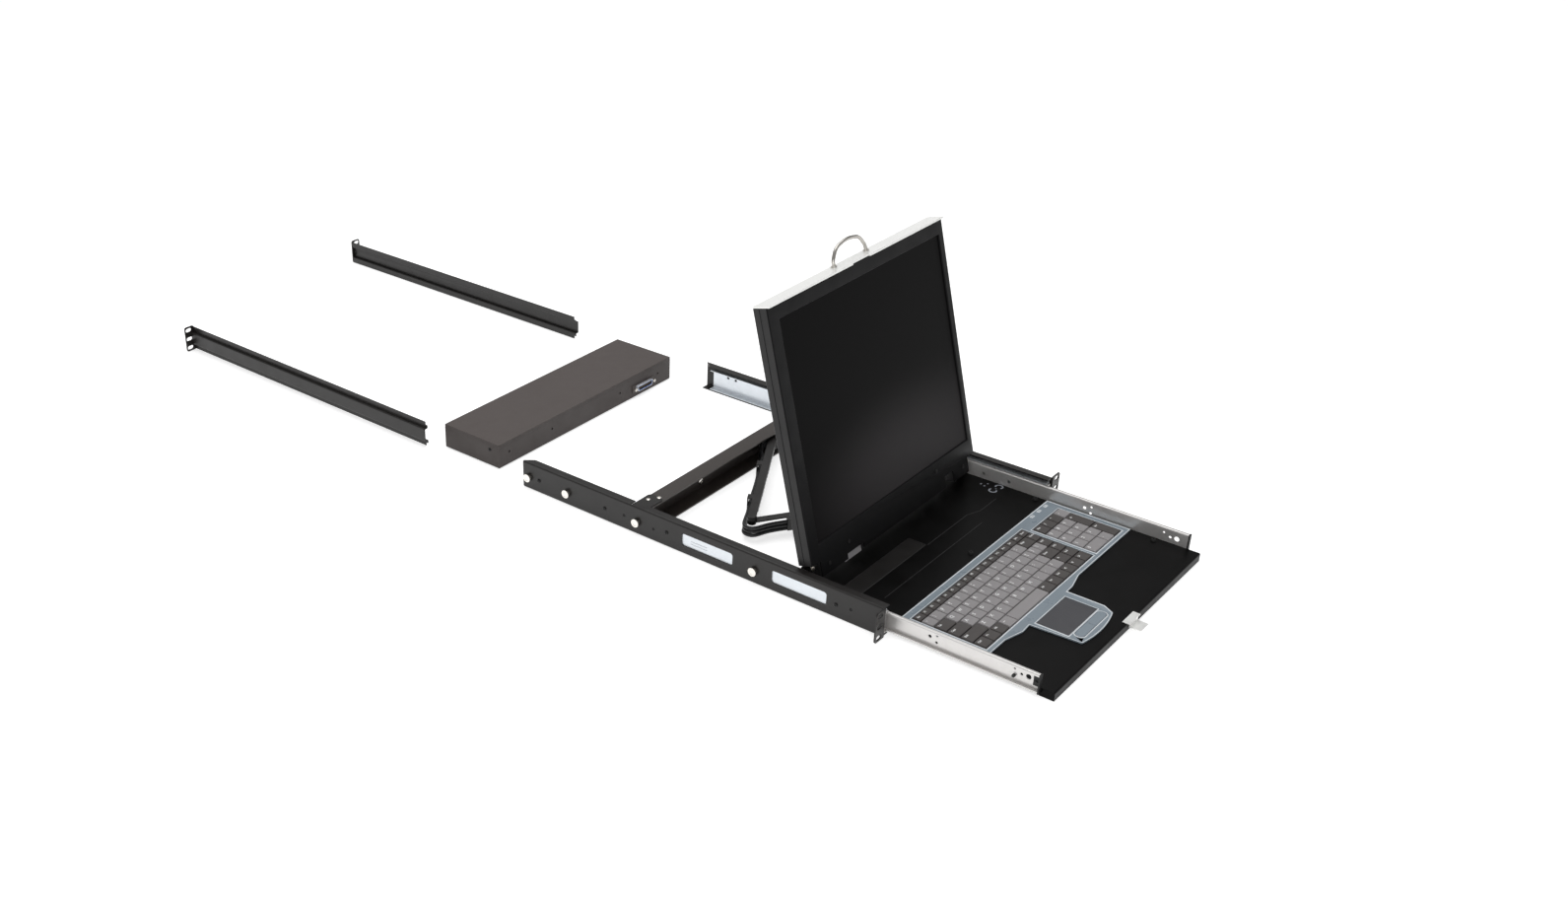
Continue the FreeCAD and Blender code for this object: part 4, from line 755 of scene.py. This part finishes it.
# Pieces that get rounded edges and one finish, by maker: their nodes, slot, finish, edge as a multiple of the
# sheet edge, and segments of the rounding
SKINS = {
    "rails": (
        ("side_rail_left side_rail_right rear_rail_left rear_rail_right", "rail_black", "Rail paint", 1.0, 2),
        ("rear_crossbar", "rail_black", "Crossbar paint", 2.0, 2),
        ("crossbar_brackets", "rail_black", "Rail paint", 1.0, 2),
        ("slide_outer_left slide_outer_right", "zinc", "Outer zinc", 0.8, 2),
        ("slide_middle_left slide_middle_right slide_inner_left slide_inner_right", "zinc", "Zinc", 0.8, 2),
        ("slide_end_brackets", "plastic_black", "Black plastic", 1.0, 2),
        ("guide_studs", "nickel", "Nickel", 1.4, 2),
    ),
    "tray": (
        ("drawer_tray", "tray_black", "Tray paint", 1.6, 3),
        ("hinge_brackets", "tray_black", "Tray paint", 1.0, 2),
        ("hinge_pins", "nickel", "Nickel", 1.0, 2),
        ("lid_bumpers", "rubber", "Rubber", 1.0, 2),
        ("lid_catch", "front_silver", "Front silver", 1.0, 2),
    ),
    "keyboard": (
        ("keyboard_base key_plate", "plastic_black", "Black plastic", 0.5, 2),
        ("touchpad", "pad", "Touchpad", 1.5, 2),
        ("touchpad_button_left touchpad_button_right", "keyboard_silver", "Keyboard case", 2.0, 3),
        ("indicator_lamps", "lamp", "Lamp window", 0.6, 2),
    ),
    "lid": (
        ("lid_back_shell lid_middle_frame", "plastic_black", "Lid plastic", 1.6, 3),
        ("lid_front_bezel", "plastic_black", "Bezel skin", 1.4, 3),
        ("lcd_panel", "screen", "Screen", 1.0, 2),
        ("lid_front_panel", "front_silver", "Front silver", 2.0, 3),
        ("lid_screws", "screw_black", "Screw black", 1.0, 2),
    ),
    "arm": (
        ("arm_base_bracket arm_tray_bracket", "rail_black", "Rail paint", 1.0, 2),
        ("arm_link_rear arm_link_front", "rail_black", "Rail paint", 1.0, 2),
        ("elbow_pin", "screw_black", "Screw black", 1.0, 2),
        ("arm_cable_block dock_connector", "plastic_black", "Black plastic", 1.0, 2),
    ),
    "module": (("rear_ports", "plastic_black", "Black plastic", 1.0, 2),),
}


def skin(maker, edge):
    for nodes, slot, finish_name, share, segments in SKINS[maker]:
        for node in nodes.split():
            refine(node, slot, (finish_name,), edge * share, segments)


# Screws nearer to the middle than the rails' inner side are plated
RAIL_INSIDE = 0.2
# Places of the rails' plain holes along the rail and over the ears' lower edge, and the webs' outer face
WEB_HOLES = ((49.0, 21.4), (368.3, 19.0), (420.6, 21.6))
WEB_FACE = 222.0
# A sunk screw's rings: their radius and their distance behind the web's face
WEB_SCREW = np.array(((2.14, 1.4), (2.14, 0.5), (1.75, 0.15), (1.2, 0.12), (0.9, 0.6)))


def web_screws():
    """Black screws sunk in the plain holes of both rails, each with a dished head.

    A screw is rings of radius times (cos, sin), at distances behind the web's face."""
    turns = np.linspace(0, 2 * math.pi, 20, endpoint=False)
    radius, depth = WEB_SCREW[:, :1], WEB_SCREW[:, 1:]
    blocks = []
    for sign in (-1, 1):
        for y, z in WEB_HOLES:
            across = np.broadcast_to(sign * (WEB_FACE - depth), (len(radius), len(turns)))
            rings = np.stack([across, y + radius * np.cos(turns), z + radius * np.sin(turns)], axis=-1)
            blocks.append(shell(placed(rings)))
    mesh = joined_mesh("web_screws", blocks)
    smooth_by_angle(mesh, 35)
    add_piece("web_screws", mesh, "chassis", "screw_black", "Screw black")


class CONSOLE_OT_rails(bpy.types.Operator):
    """Finishes the side rails, rear rails, slides, crossbar and their fasteners"""

    bl_idname = "console.rails"
    bl_label = "Rails and slides"

    def execute(self, context):
        edge = context.scene.console_shapes.sheet_edge
        skin("rails", edge)
        refine(
            "chassis_screws",
            "screw_black",
            ("Screw black", "Nickel"),
            edge,
            choose=lambda centre: int(abs(centre.x) < RAIL_INSIDE),
        )
        web_screws()
        return {"FINISHED"}


# The strip's middle in millimetres, and in metres half its width and depth, its corner radius and its rings'
# insets and heights
STRIP_MIDDLE = (-94.0, 80.0, DECK_LEVEL)
STRIP_HALF = (0.086, 0.014)
STRIP_CORNER = 0.002
STRIP_RINGS = ((0.0, 0.0), (0.0, 0.00025), (0.0002, 0.0004), (0.0012, 0.00042))


def deck_strip():
    """The long shallow plate behind the keyboard, left bare, with softly rounded corners.

    Rings from the foot to the crown: the outline shrinks by the edge radius as the height rises."""
    centre = at(*STRIP_MIDDLE)
    rings = []
    for inset, height in STRIP_RINGS:
        outline = rounded_ring(STRIP_HALF[0] - inset, STRIP_HALF[1] - inset, STRIP_CORNER, 6)
        level = np.full(len(outline), centre.z + height)
        rings.append(np.column_stack([outline + (centre.x, centre.y), level]))
    mesh = joined_mesh("deck_strip", [shell(np.array(rings))])
    smooth_by_angle(mesh, 40)
    add_piece("deck_strip", mesh, "drawer", "tray_black", "Deck strip")


def raised_lines(name, lines, half, rise, finish_name):
    """A low flat ridge carried along each polyline of the deck.

    Each point is offset to both sides of the line by half its width, at the deck and a little above it."""
    blocks = []
    for line in lines:
        path = placed([(x, y, DECK_LEVEL) for x, y in line])
        along = np.gradient(path, axis=0)
        along /= np.linalg.norm(along, axis=1)[:, None]
        side = np.stack([-along[:, 1], along[:, 0], np.zeros(len(path))], axis=1) * half
        up = np.array((0, 0, rise))
        blocks.append(shell(np.stack([path - side, path + side, path + side + up, path - side + up], axis=1)))
    add_piece(name, joined_mesh(name, blocks), "drawer", "tray_black", finish_name)


def deck_lines():
    """Two engraved lines on the deck."""
    bent = ((-7.0, 64.7), (99.0, 64.7), (121.0, 56.4), (166.0, 56.4))
    straight = ((-158.0, 38.3), (93.0, 38.3))
    raised_lines("deck_lines", (bent, straight), half=0.00035, rise=0.0001, finish_name="Engraving")


# Radius of the printed rings, in millimetres
RING_RADIUS = 5.2


def deck_marks():
    """Printed marks at the deck's rear right: two rings, open towards each other, a dot and three dashes.

    A ring is its centre plus the radius times the cosine and sine of angles that leave the gap out."""
    turns = np.radians(np.linspace(50, 310, 22))
    lines = [((190.6, 70.6), (192.2, 70.6)), ((189.4, 94.4), (192.6, 94.4))]
    lines += [((195.9, 86.9), (198.5, 86.9)), ((187.4, 88.4), (190.0, 87.0))]
    for centre, start in (((184.2, 71.8), 0.0), ((199.4, 69.8), math.pi)):
        lines.append(RING_RADIUS * np.stack([np.cos(turns + start), np.sin(turns + start)], axis=1) + centre)
    raised_lines("deck_marks", lines, half=0.0011, rise=0.00008, finish_name="Deck print")


class CONSOLE_OT_tray(bpy.types.Operator):
    """Finishes the tray, its bumpers and catch, and adds the strip, the engraved lines and the marks"""

    bl_idname = "console.tray"
    bl_label = "Drawer tray"

    def execute(self, context):
        skin("tray", context.scene.console_shapes.sheet_edge)
        deck_strip()
        deck_lines()
        deck_marks()
        return {"FINISHED"}


# Keyboard

LEGENDS = {
    "function_keys": ["Esc"] + ["F%d" % i for i in range(1, 13)] + ["Prt", "Scr", "Brk", "Num"],
    "number_row_keys": ["~\n`", "!\n1", "@\n2", "#\n3", "$\n4", "%\n5", "^\n6", "&\n7", "*\n8", "(\n9"]
    + [")\n0", "_\n-", "+\n=", "Bksp", "Home"],
    "upper_row_keys": ["Tab"] + list("QWERTYUIOP[]\\") + ["PgU"],
    "home_row_keys": ["Caps"] + list("ASDFGHJKL;'") + ["Enter", "PgD"],
    "lower_row_keys": ["Shift"] + list("ZXCVBNM,./") + ["^", "End"],
    "bottom_row_keys": ["Ctrl", "Fn", "Alt", "~", "Alt", "Ins", "Del", "<", "v", ">"],
    "space_bar": [""],
    "keypad_keys": ["Nm", "/", "*", "-", "7", "8", "9", "+", "4", "5", "6", "1", "2", "3", "Ent", "0", "."],
}
DARK_KEYS = {
    "function_keys": range(17),
    "number_row_keys": (13, 14),
    "upper_row_keys": (0, 14),
    "home_row_keys": (0, 12, 13),
    "lower_row_keys": (0, 11, 12),
    "bottom_row_keys": (0, 1, 2, 4, 5, 6, 7, 8, 9),
    "space_bar": (),
    "keypad_keys": (0, 1, 2, 7, 14),
}

# How far a legend stands in from the cap's upper left corner and sinks into its top, in metres
LEGEND_INSET = 0.0034
LEGEND_SINK = 0.00006
# A word's size beside a single letter's, and the share of a letter's size that stands over its foot
WORD_SCALE = 0.62
LETTER_RISE = 0.66


def key_places(node):
    """Centre and half size of each key of a node, back to front and left to right."""
    low, high = islands(node)
    centre = (low + high) / 2
    order = np.lexsort((centre[:, 0], -np.round(centre[:, 1], 4)))
    return centre[order], (high - low)[order] / 2, high[order, 2]


def cap_rings(centre, half, top, shapes):
    """A key cap as rings from skirt to crown.

    Each ring is a rounded rectangle. Going up, its inset grows by the taper, then turns over the shoulder;
    on the crown the height falls by the dish times (1 - (inset left / half width) squared)."""
    height, taper, dish = shapes.cap_height, shapes.cap_taper, shapes.cap_dish
    profile = (
        (0.0, 0.0, 0.0005),
        (taper * 0.1, 0.15, 0.0006),
        (taper * 0.75, 0.86, 0.0009),
        (taper * 0.95, 0.96, shapes.cap_corner),
        (taper * 1.3, 1.0, shapes.cap_corner),
        (taper * 1.9, 1.0, shapes.cap_corner * 0.8),
        (taper * 2.9, 1.0, 0.0007),
        (taper * 3.7, 1.0, 0.0005),
    )
    crown_start = profile[4][0]
    room = min(half[0], half[1]) - crown_start
    rings = []
    for inset, share, radius in profile:
        ring = rounded_ring(half[0] - inset, half[1] - inset, radius, 5)
        sunk = dish * (1 - (1 - min(1.0, max(0.0, inset - crown_start) / room)) ** 2)
        level = top - height * (1 - share) - sunk
        rings.append(np.column_stack([ring + centre[:2], np.full(len(ring), level)]))
    return np.array(rings)


def cap_mesh(node, shapes):
    """All the caps of one row in one mesh, grey and dark."""
    blocks, dark = [], []
    for number, (centre, half, top) in enumerate(zip(*key_places(node))):
        blocks.append(shell(cap_rings(centre, half, top, shapes)))
        dark += [int(number in DARK_KEYS[node])] * len(blocks[-1][1])
    mesh = joined_mesh(node + "_caps", blocks)
    mesh.polygons.foreach_set("material_index", np.array(dark, np.int32))
    smooth_by_angle(mesh, 55)
    return mesh


def glyph_mesh(text, size):
    """The points and faces of a short legend, as a thin closed print."""
    curve = bpy.data.curves.new("legend", "FONT")
    curve.body = text
    curve.size = size
    curve.resolution_u = 2
    curve.extrude = 0.00002
    curve.offset = size * 0.03
    curve.space_line = 0.8
    holder = new_object("legend", curve)
    bpy.context.view_layer.update()
    mesh = bpy.data.meshes.new_from_object(holder)
    points = np.zeros(len(mesh.vertices) * 3)
    mesh.vertices.foreach_get("co", points)
    faces = [list(polygon.vertices) for polygon in mesh.polygons]
    bpy.data.objects.remove(holder)
    bpy.data.curves.remove(curve)
    bpy.data.meshes.remove(mesh)
    return points.reshape(-1, 3), faces


def legend_mesh(node, shapes):
    """The legends of one row, near the upper left corner of each cap."""
    blocks = []
    for text, centre, half, top in zip(LEGENDS[node], *key_places(node)):
        if not text:
            continue
        size = shapes.legend_size * (WORD_SCALE if len(text) > 1 else 1.0)
        glyphs, polygons = glyph_mesh(text, size)
        left = centre[0] - half[0] + LEGEND_INSET
        foot = centre[1] + half[1] - LEGEND_INSET - size * LETTER_RISE
        blocks.append((glyphs + np.array((left, foot, top - LEGEND_SINK)), polygons))
    return joined_mesh(node + "_legends", blocks)


def keyboard_case(shapes):
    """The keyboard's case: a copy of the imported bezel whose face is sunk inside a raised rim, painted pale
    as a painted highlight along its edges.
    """
    # The outer band of the face, flat and then stepping down, takes the pale rim colour as a painted
    # highlight
    steps = ((shapes.rim_width * 0.75, 0.0, 1), (shapes.rim_width * 0.25, -shapes.rim_height, 1))
    case = ("keyboard_case", "keyboard_silver", ("Keyboard case", "Keyboard rim"))
    piece = sunk_piece("keyboard_bezel", *case, (0, 0, 1), steps, 0, 30)
    round_edges(piece, width=0.0003, segments=2, degrees=40)


class CONSOLE_OT_keyboard(bpy.types.Operator):
    """Makes the key caps with their legends and finishes the keyboard's case and touchpad"""

    bl_idname = "console.keyboard"
    bl_label = "Keyboard"

    def execute(self, context):
        shapes = context.scene.console_shapes
        for node in LEGENDS:
            body = node_body(node)
            caps = add_piece(node + "_caps", cap_mesh(node, shapes), body, "key_grey", "Key grey", "Key dark")
            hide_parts(node)
            if any(LEGENDS[node]):
                add_piece(node + "_legends", legend_mesh(node, shapes), body, "key_grey", "Legend print")
        keyboard_case(shapes)
        skin("keyboard", shapes.sheet_edge)
        return {"FINISHED"}


# How far the grey plate reaches below the screen's foot, in metres
LEAD_PLATE_DROP = 0.0055


def lengthen_foot(piece, drop):
    """Draws a tilted plate's lower end down: its lower points move by the drop along the plate's height."""
    points = np.empty(len(piece.data.vertices) * 3, np.float32)
    piece.data.vertices.foreach_get("co", points)
    points = points.reshape(-1, 3)
    low = points[:, 2] < points[:, 2].mean()
    height = points[~low].mean(axis=0) - points[low].mean(axis=0)
    points[low] -= height / np.linalg.norm(height) * drop
    piece.data.vertices.foreach_set("co", points.reshape(-1))
    piece.data.update()


class CONSOLE_OT_lid(bpy.types.Operator):
    """Finishes the screen's housing, its panel, front plate and handle"""

    bl_idname = "console.lid"
    bl_label = "Screen"

    def execute(self, context):
        edge = context.scene.console_shapes.sheet_edge
        skin("lid", edge)
        lengthen_foot(refine("lid_lead_plate", "grey_plate", ("Grey plate",), edge), LEAD_PLATE_DROP)
        refine("pull_handle", "nickel", ("Steel wire",), edge)
        return {"FINISHED"}


# Cable arm, all in millimetres

# Heights of the three leads over the ears' lower edge, and how far to the left of the link they run
LEAD_LEVELS = (10.0, 15.5, 21.0)
LEAD_SIDE = 9.5
# How far each lead stands out of the bundle where it is free
LEAD_SLACK = (1.6, 0.0, 0.8)
# Where the straight runs begin after the elbow, and how far before the links' other ends they stop
RUN_START = 34
REAR_RUN_STOP = 62
FRONT_RUN_STOP = 40
# How far along each link from the elbow its loops are held
ELBOW_HOLD = 24
# Where the leads lie against the crossbar's web
WEB_PLACES = ((88, 404.5), (98, 404.6), (109, 404.5))


def arm_pivots():
    """The arm's pivots at rest, on the crossbar, at the elbow and on the tray, as points of the XY plane."""
    pivots = {joint["name"]: np.array(joint["pos_m"][:2]) for joint in frame["joints"] if "pos_m" in joint}
    low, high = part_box("arm_tray_bracket")
    tray = np.array(((low.x + high.x) / 2, high.y - 6.0 * MM))
    return pivots["arm_base"], pivots["arm_elbow"], tray


def beside_link(start, end, places, level):
    """Points beside a link, from their distances along it and to its left in millimetres."""
    along = (end - start) / np.linalg.norm(end - start)
    left = np.array((-along[1], along[0]))
    flat = [start + along * a * MM + left * b * MM for a, b in places]
    return [(*point, at(0, 0, level).z) for point in flat]


def lead_piece(name, paths, node):
    """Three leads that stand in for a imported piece."""
    shapes = bpy.context.scene.console_shapes
    mesh = tube_mesh(name, paths, shapes.lead_radius, shapes.tube_sides)
    mesh.materials.append(finish("Lead jacket"))
    piece = new_object(name, mesh)
    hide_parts(node)
    return piece


def straight_leads(name, start, end, stop, side, body, node):
    """Three leads held along a link.

    Each wanders from its line by 0.5 mm * sin(turns along it), faded out at both ends."""
    length = np.linalg.norm(end - start) / MM - stop
    share = np.linspace(0, 1, 48)
    along = RUN_START + share * (length - RUN_START)
    paths = []
    for number, level in enumerate(LEAD_LEVELS):
        wander = 0.5 * np.sin(along / 17 + 2.1 * number) * np.sin(math.pi * share)
        paths.append(np.array(beside_link(start, end, zip(along, side + wander), level)))
    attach(lead_piece(name, paths, node), body)


def elbow_loops(elbow, base, tray):
    """Each lead leaves the rear link, swings round the elbow's outside and comes back to the front link."""
    paths = []
    for level, slack in zip(LEAD_LEVELS, LEAD_SLACK):
        rear = ((RUN_START, LEAD_SIDE), (ELBOW_HOLD, LEAD_SIDE), (12, 10 + slack / 4))
        rear += ((0, 10.5 + slack / 4), (-10, 9 + slack))
        front = ((-6, -15 - slack), (8, -12.5 - slack / 2), (22, -LEAD_SIDE - 0.3), (RUN_START, -LEAD_SIDE))
        points = beside_link(elbow, base, rear, level) + beside_link(elbow, tray, front, level)
        paths.append(spline(points, 8))
    start = beside_link(elbow, base, ((ELBOW_HOLD, 0),), LEAD_LEVELS[1])[0]
    end = beside_link(elbow, tray, ((ELBOW_HOLD, 0),), LEAD_LEVELS[1])[0]
    piece = lead_piece("elbow_leads", paths, "elbow_lead_loops")
    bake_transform(piece)


def crossbar_loops(elbow, base):
    """The leads swell out from the rear link and lie back against the crossbar's web."""
    length = np.linalg.norm(base - elbow) / MM
    paths = []
    for level, slack in zip(LEAD_LEVELS, LEAD_SLACK):
        rear = ((-REAR_RUN_STOP, LEAD_SIDE), (-54, 11 + slack / 2), (-46, 13.2 + slack))
        rear += ((-34, 15.6 + 1.4 * slack), (-20, 16.6 + slack))
        places = [(length + along, left) for along, left in rear]
        bar = [tuple(at(x, y, level)) for x, y in WEB_PLACES]
        paths.append(spline(beside_link(elbow, base, places, level) + bar, 8))
    end = beside_link(elbow, base, ((length - REAR_RUN_STOP, LEAD_SIDE),), LEAD_LEVELS[1])[0]
    piece = lead_piece("crossbar_leads", paths, "crossbar_lead_loops")
    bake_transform(piece)


class CONSOLE_OT_arm(bpy.types.Operator):
    """Finishes the cable arm and makes its leads"""

    bl_idname = "console.arm"
    bl_label = "Cable arm"

    def execute(self, context):
        skin("arm", context.scene.console_shapes.sheet_edge)
        base, elbow, tray = arm_pivots()
        straight_leads("rear_leads", elbow, base, REAR_RUN_STOP, LEAD_SIDE, "arm_rear", "arm_leads_rear")
        straight_leads("front_leads", elbow, tray, FRONT_RUN_STOP, -LEAD_SIDE, "arm_front", "arm_leads_front")
        elbow_loops(elbow, base, tray)
        crossbar_loops(elbow, base)
        return {"FINISHED"}


# Switch module

# Contacts in one row, how far the rows stand from the slot's middle and from its ends, and how far the pins'
# feet lie behind the insert's face
CONTACTS = 18
CONTACT_RISE = 0.0011
CONTACT_MARGIN = 0.0035
CONTACT_FOOT = 0.0017
# A contact's rings: their place before its foot and half their side
CONTACT_RINGS = ((0.0, 0.00032), (-0.0009, 0.00032), (-0.0011, 0.0002))
# The slot's flat border, its wall and its depth
SLOT_BORDER = 0.0011
SLOT_WALL = 0.0002
SLOT_DEPTH = 0.0016
# How far under the module's top its walls begin, below which the darker wall paint is painted shade, and how
# far before its front the shell's bright part ends, behind which the shell's module paint is painted shade
SHADED_WALL_TOP = 0.0015
SHELL_SHADE_START = 0.0012


def connector_slot():
    """The socket's blue insert, with a slot sunk into its face whose walls and floor are painted dark blue as
    painted shade.
    """
    steps = ((SLOT_BORDER, 0.0, 0), (SLOT_WALL, -SLOT_DEPTH, 1))
    finishes = ("Connector blue", "Connector slot shade")
    sunk_piece("connector_insert", "connector_slot", "connector_blue", finishes, (0, -1, 0), steps, 1, 35)


def connector_contacts():
    """Two rows of gold contacts in the slot, each a short square pin with a bevelled tip.

    Along X the pins stand at equal steps; each is a skin over three square rings, the last one smaller."""
    low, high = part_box("connector_insert")
    level = (low.z + high.z) / 2
    square = np.array(((-1, -1), (1, -1), (1, 1), (-1, 1)))
    blocks = []
    for z, shift in ((level - CONTACT_RISE, -0.0005), (level + CONTACT_RISE, 0.0005)):
        for x in np.linspace(low.x + CONTACT_MARGIN, high.x - CONTACT_MARGIN, CONTACTS) + shift:
            rings = []
            for y, half in CONTACT_RINGS:
                depth = np.full(4, y + (low.y + CONTACT_FOOT))
                rings.append(np.column_stack([x + square[:, 0] * half, depth, z + square[:, 1] * half]))
            blocks.append(shell(np.array(rings)))
    mesh = joined_mesh("connector_contacts", blocks)
    add_piece("connector_contacts", mesh, node_body("connector_insert"), "nickel", "Gold flash")


class CONSOLE_OT_module(bpy.types.Operator):
    """Finishes the switch module and its sockets"""

    bl_idname = "console.module"
    bl_label = "Switch module"

    def execute(self, context):
        edge = context.scene.console_shapes.sheet_edge
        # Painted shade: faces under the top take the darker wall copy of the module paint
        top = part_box("module_cover")[1].z - SHADED_WALL_TOP
        lit_top_and_shaded_walls = ("Module paint", "Module wall")
        for node in ("module_base", "module_cover"):
            refine(node, "module_black", lit_top_and_shaded_walls, edge * 2.2, 3, choose=lambda centre: int(centre.z < top))
        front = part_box("module_base")[0].y
        # Painted shade: the shell's flange behind its bright collar takes the dark module paint in place of
        # tin
        tin_and_painted_shade = ("Bright tin", "Module paint")
        behind = front - SHELL_SHADE_START
        refine("connector_shell", "nickel", tin_and_painted_shade, edge * 0.6, choose=lambda centre: int(centre.y > behind))
        screws = ("Nickel", "Screw black")
        refine("module_screws", "nickel", screws, edge * 0.6, choose=lambda centre: int(centre.y > front))
        connector_slot()
        connector_contacts()
        skin("module", edge)
        return {"FINISHED"}


OPERATORS = (
    CONSOLE_OT_stage,
    CONSOLE_OT_finishes,
    CONSOLE_OT_rails,
    CONSOLE_OT_tray,
    CONSOLE_OT_keyboard,
    CONSOLE_OT_lid,
    CONSOLE_OT_arm,
    CONSOLE_OT_module,
)


class CONSOLE_PT_panel(bpy.types.Panel):
    """Lists the console drawer's makers"""

    bl_idname = "CONSOLE_PT_panel"
    bl_label = "Console drawer"
    bl_space_type = "VIEW_3D"
    bl_region_type = "UI"
    bl_category = "Console drawer"

    def draw(self, context):
        for operator in OPERATORS:
            self.layout.operator(operator.bl_idname)


CLASSES = (ConsoleColours, ConsoleShapes, ConsoleStudio, *OPERATORS, CONSOLE_PT_panel)


def register():
    for cls in CLASSES:
        bpy.utils.register_class(cls)
    bpy.types.Scene.console_colours = PointerProperty(type=ConsoleColours)
    bpy.types.Scene.console_shapes = PointerProperty(type=ConsoleShapes)
    bpy.types.Scene.console_studio = PointerProperty(type=ConsoleStudio)


def unregister():
    del bpy.types.Scene.console_studio
    del bpy.types.Scene.console_shapes
    del bpy.types.Scene.console_colours
    for cls in reversed(CLASSES):
        bpy.utils.unregister_class(cls)


def main():
    register()
    for operator in OPERATORS:
        group, name = operator.bl_idname.split(".")
        getattr(getattr(bpy.ops, group), name)()


if __name__ == "__main__":
    main()
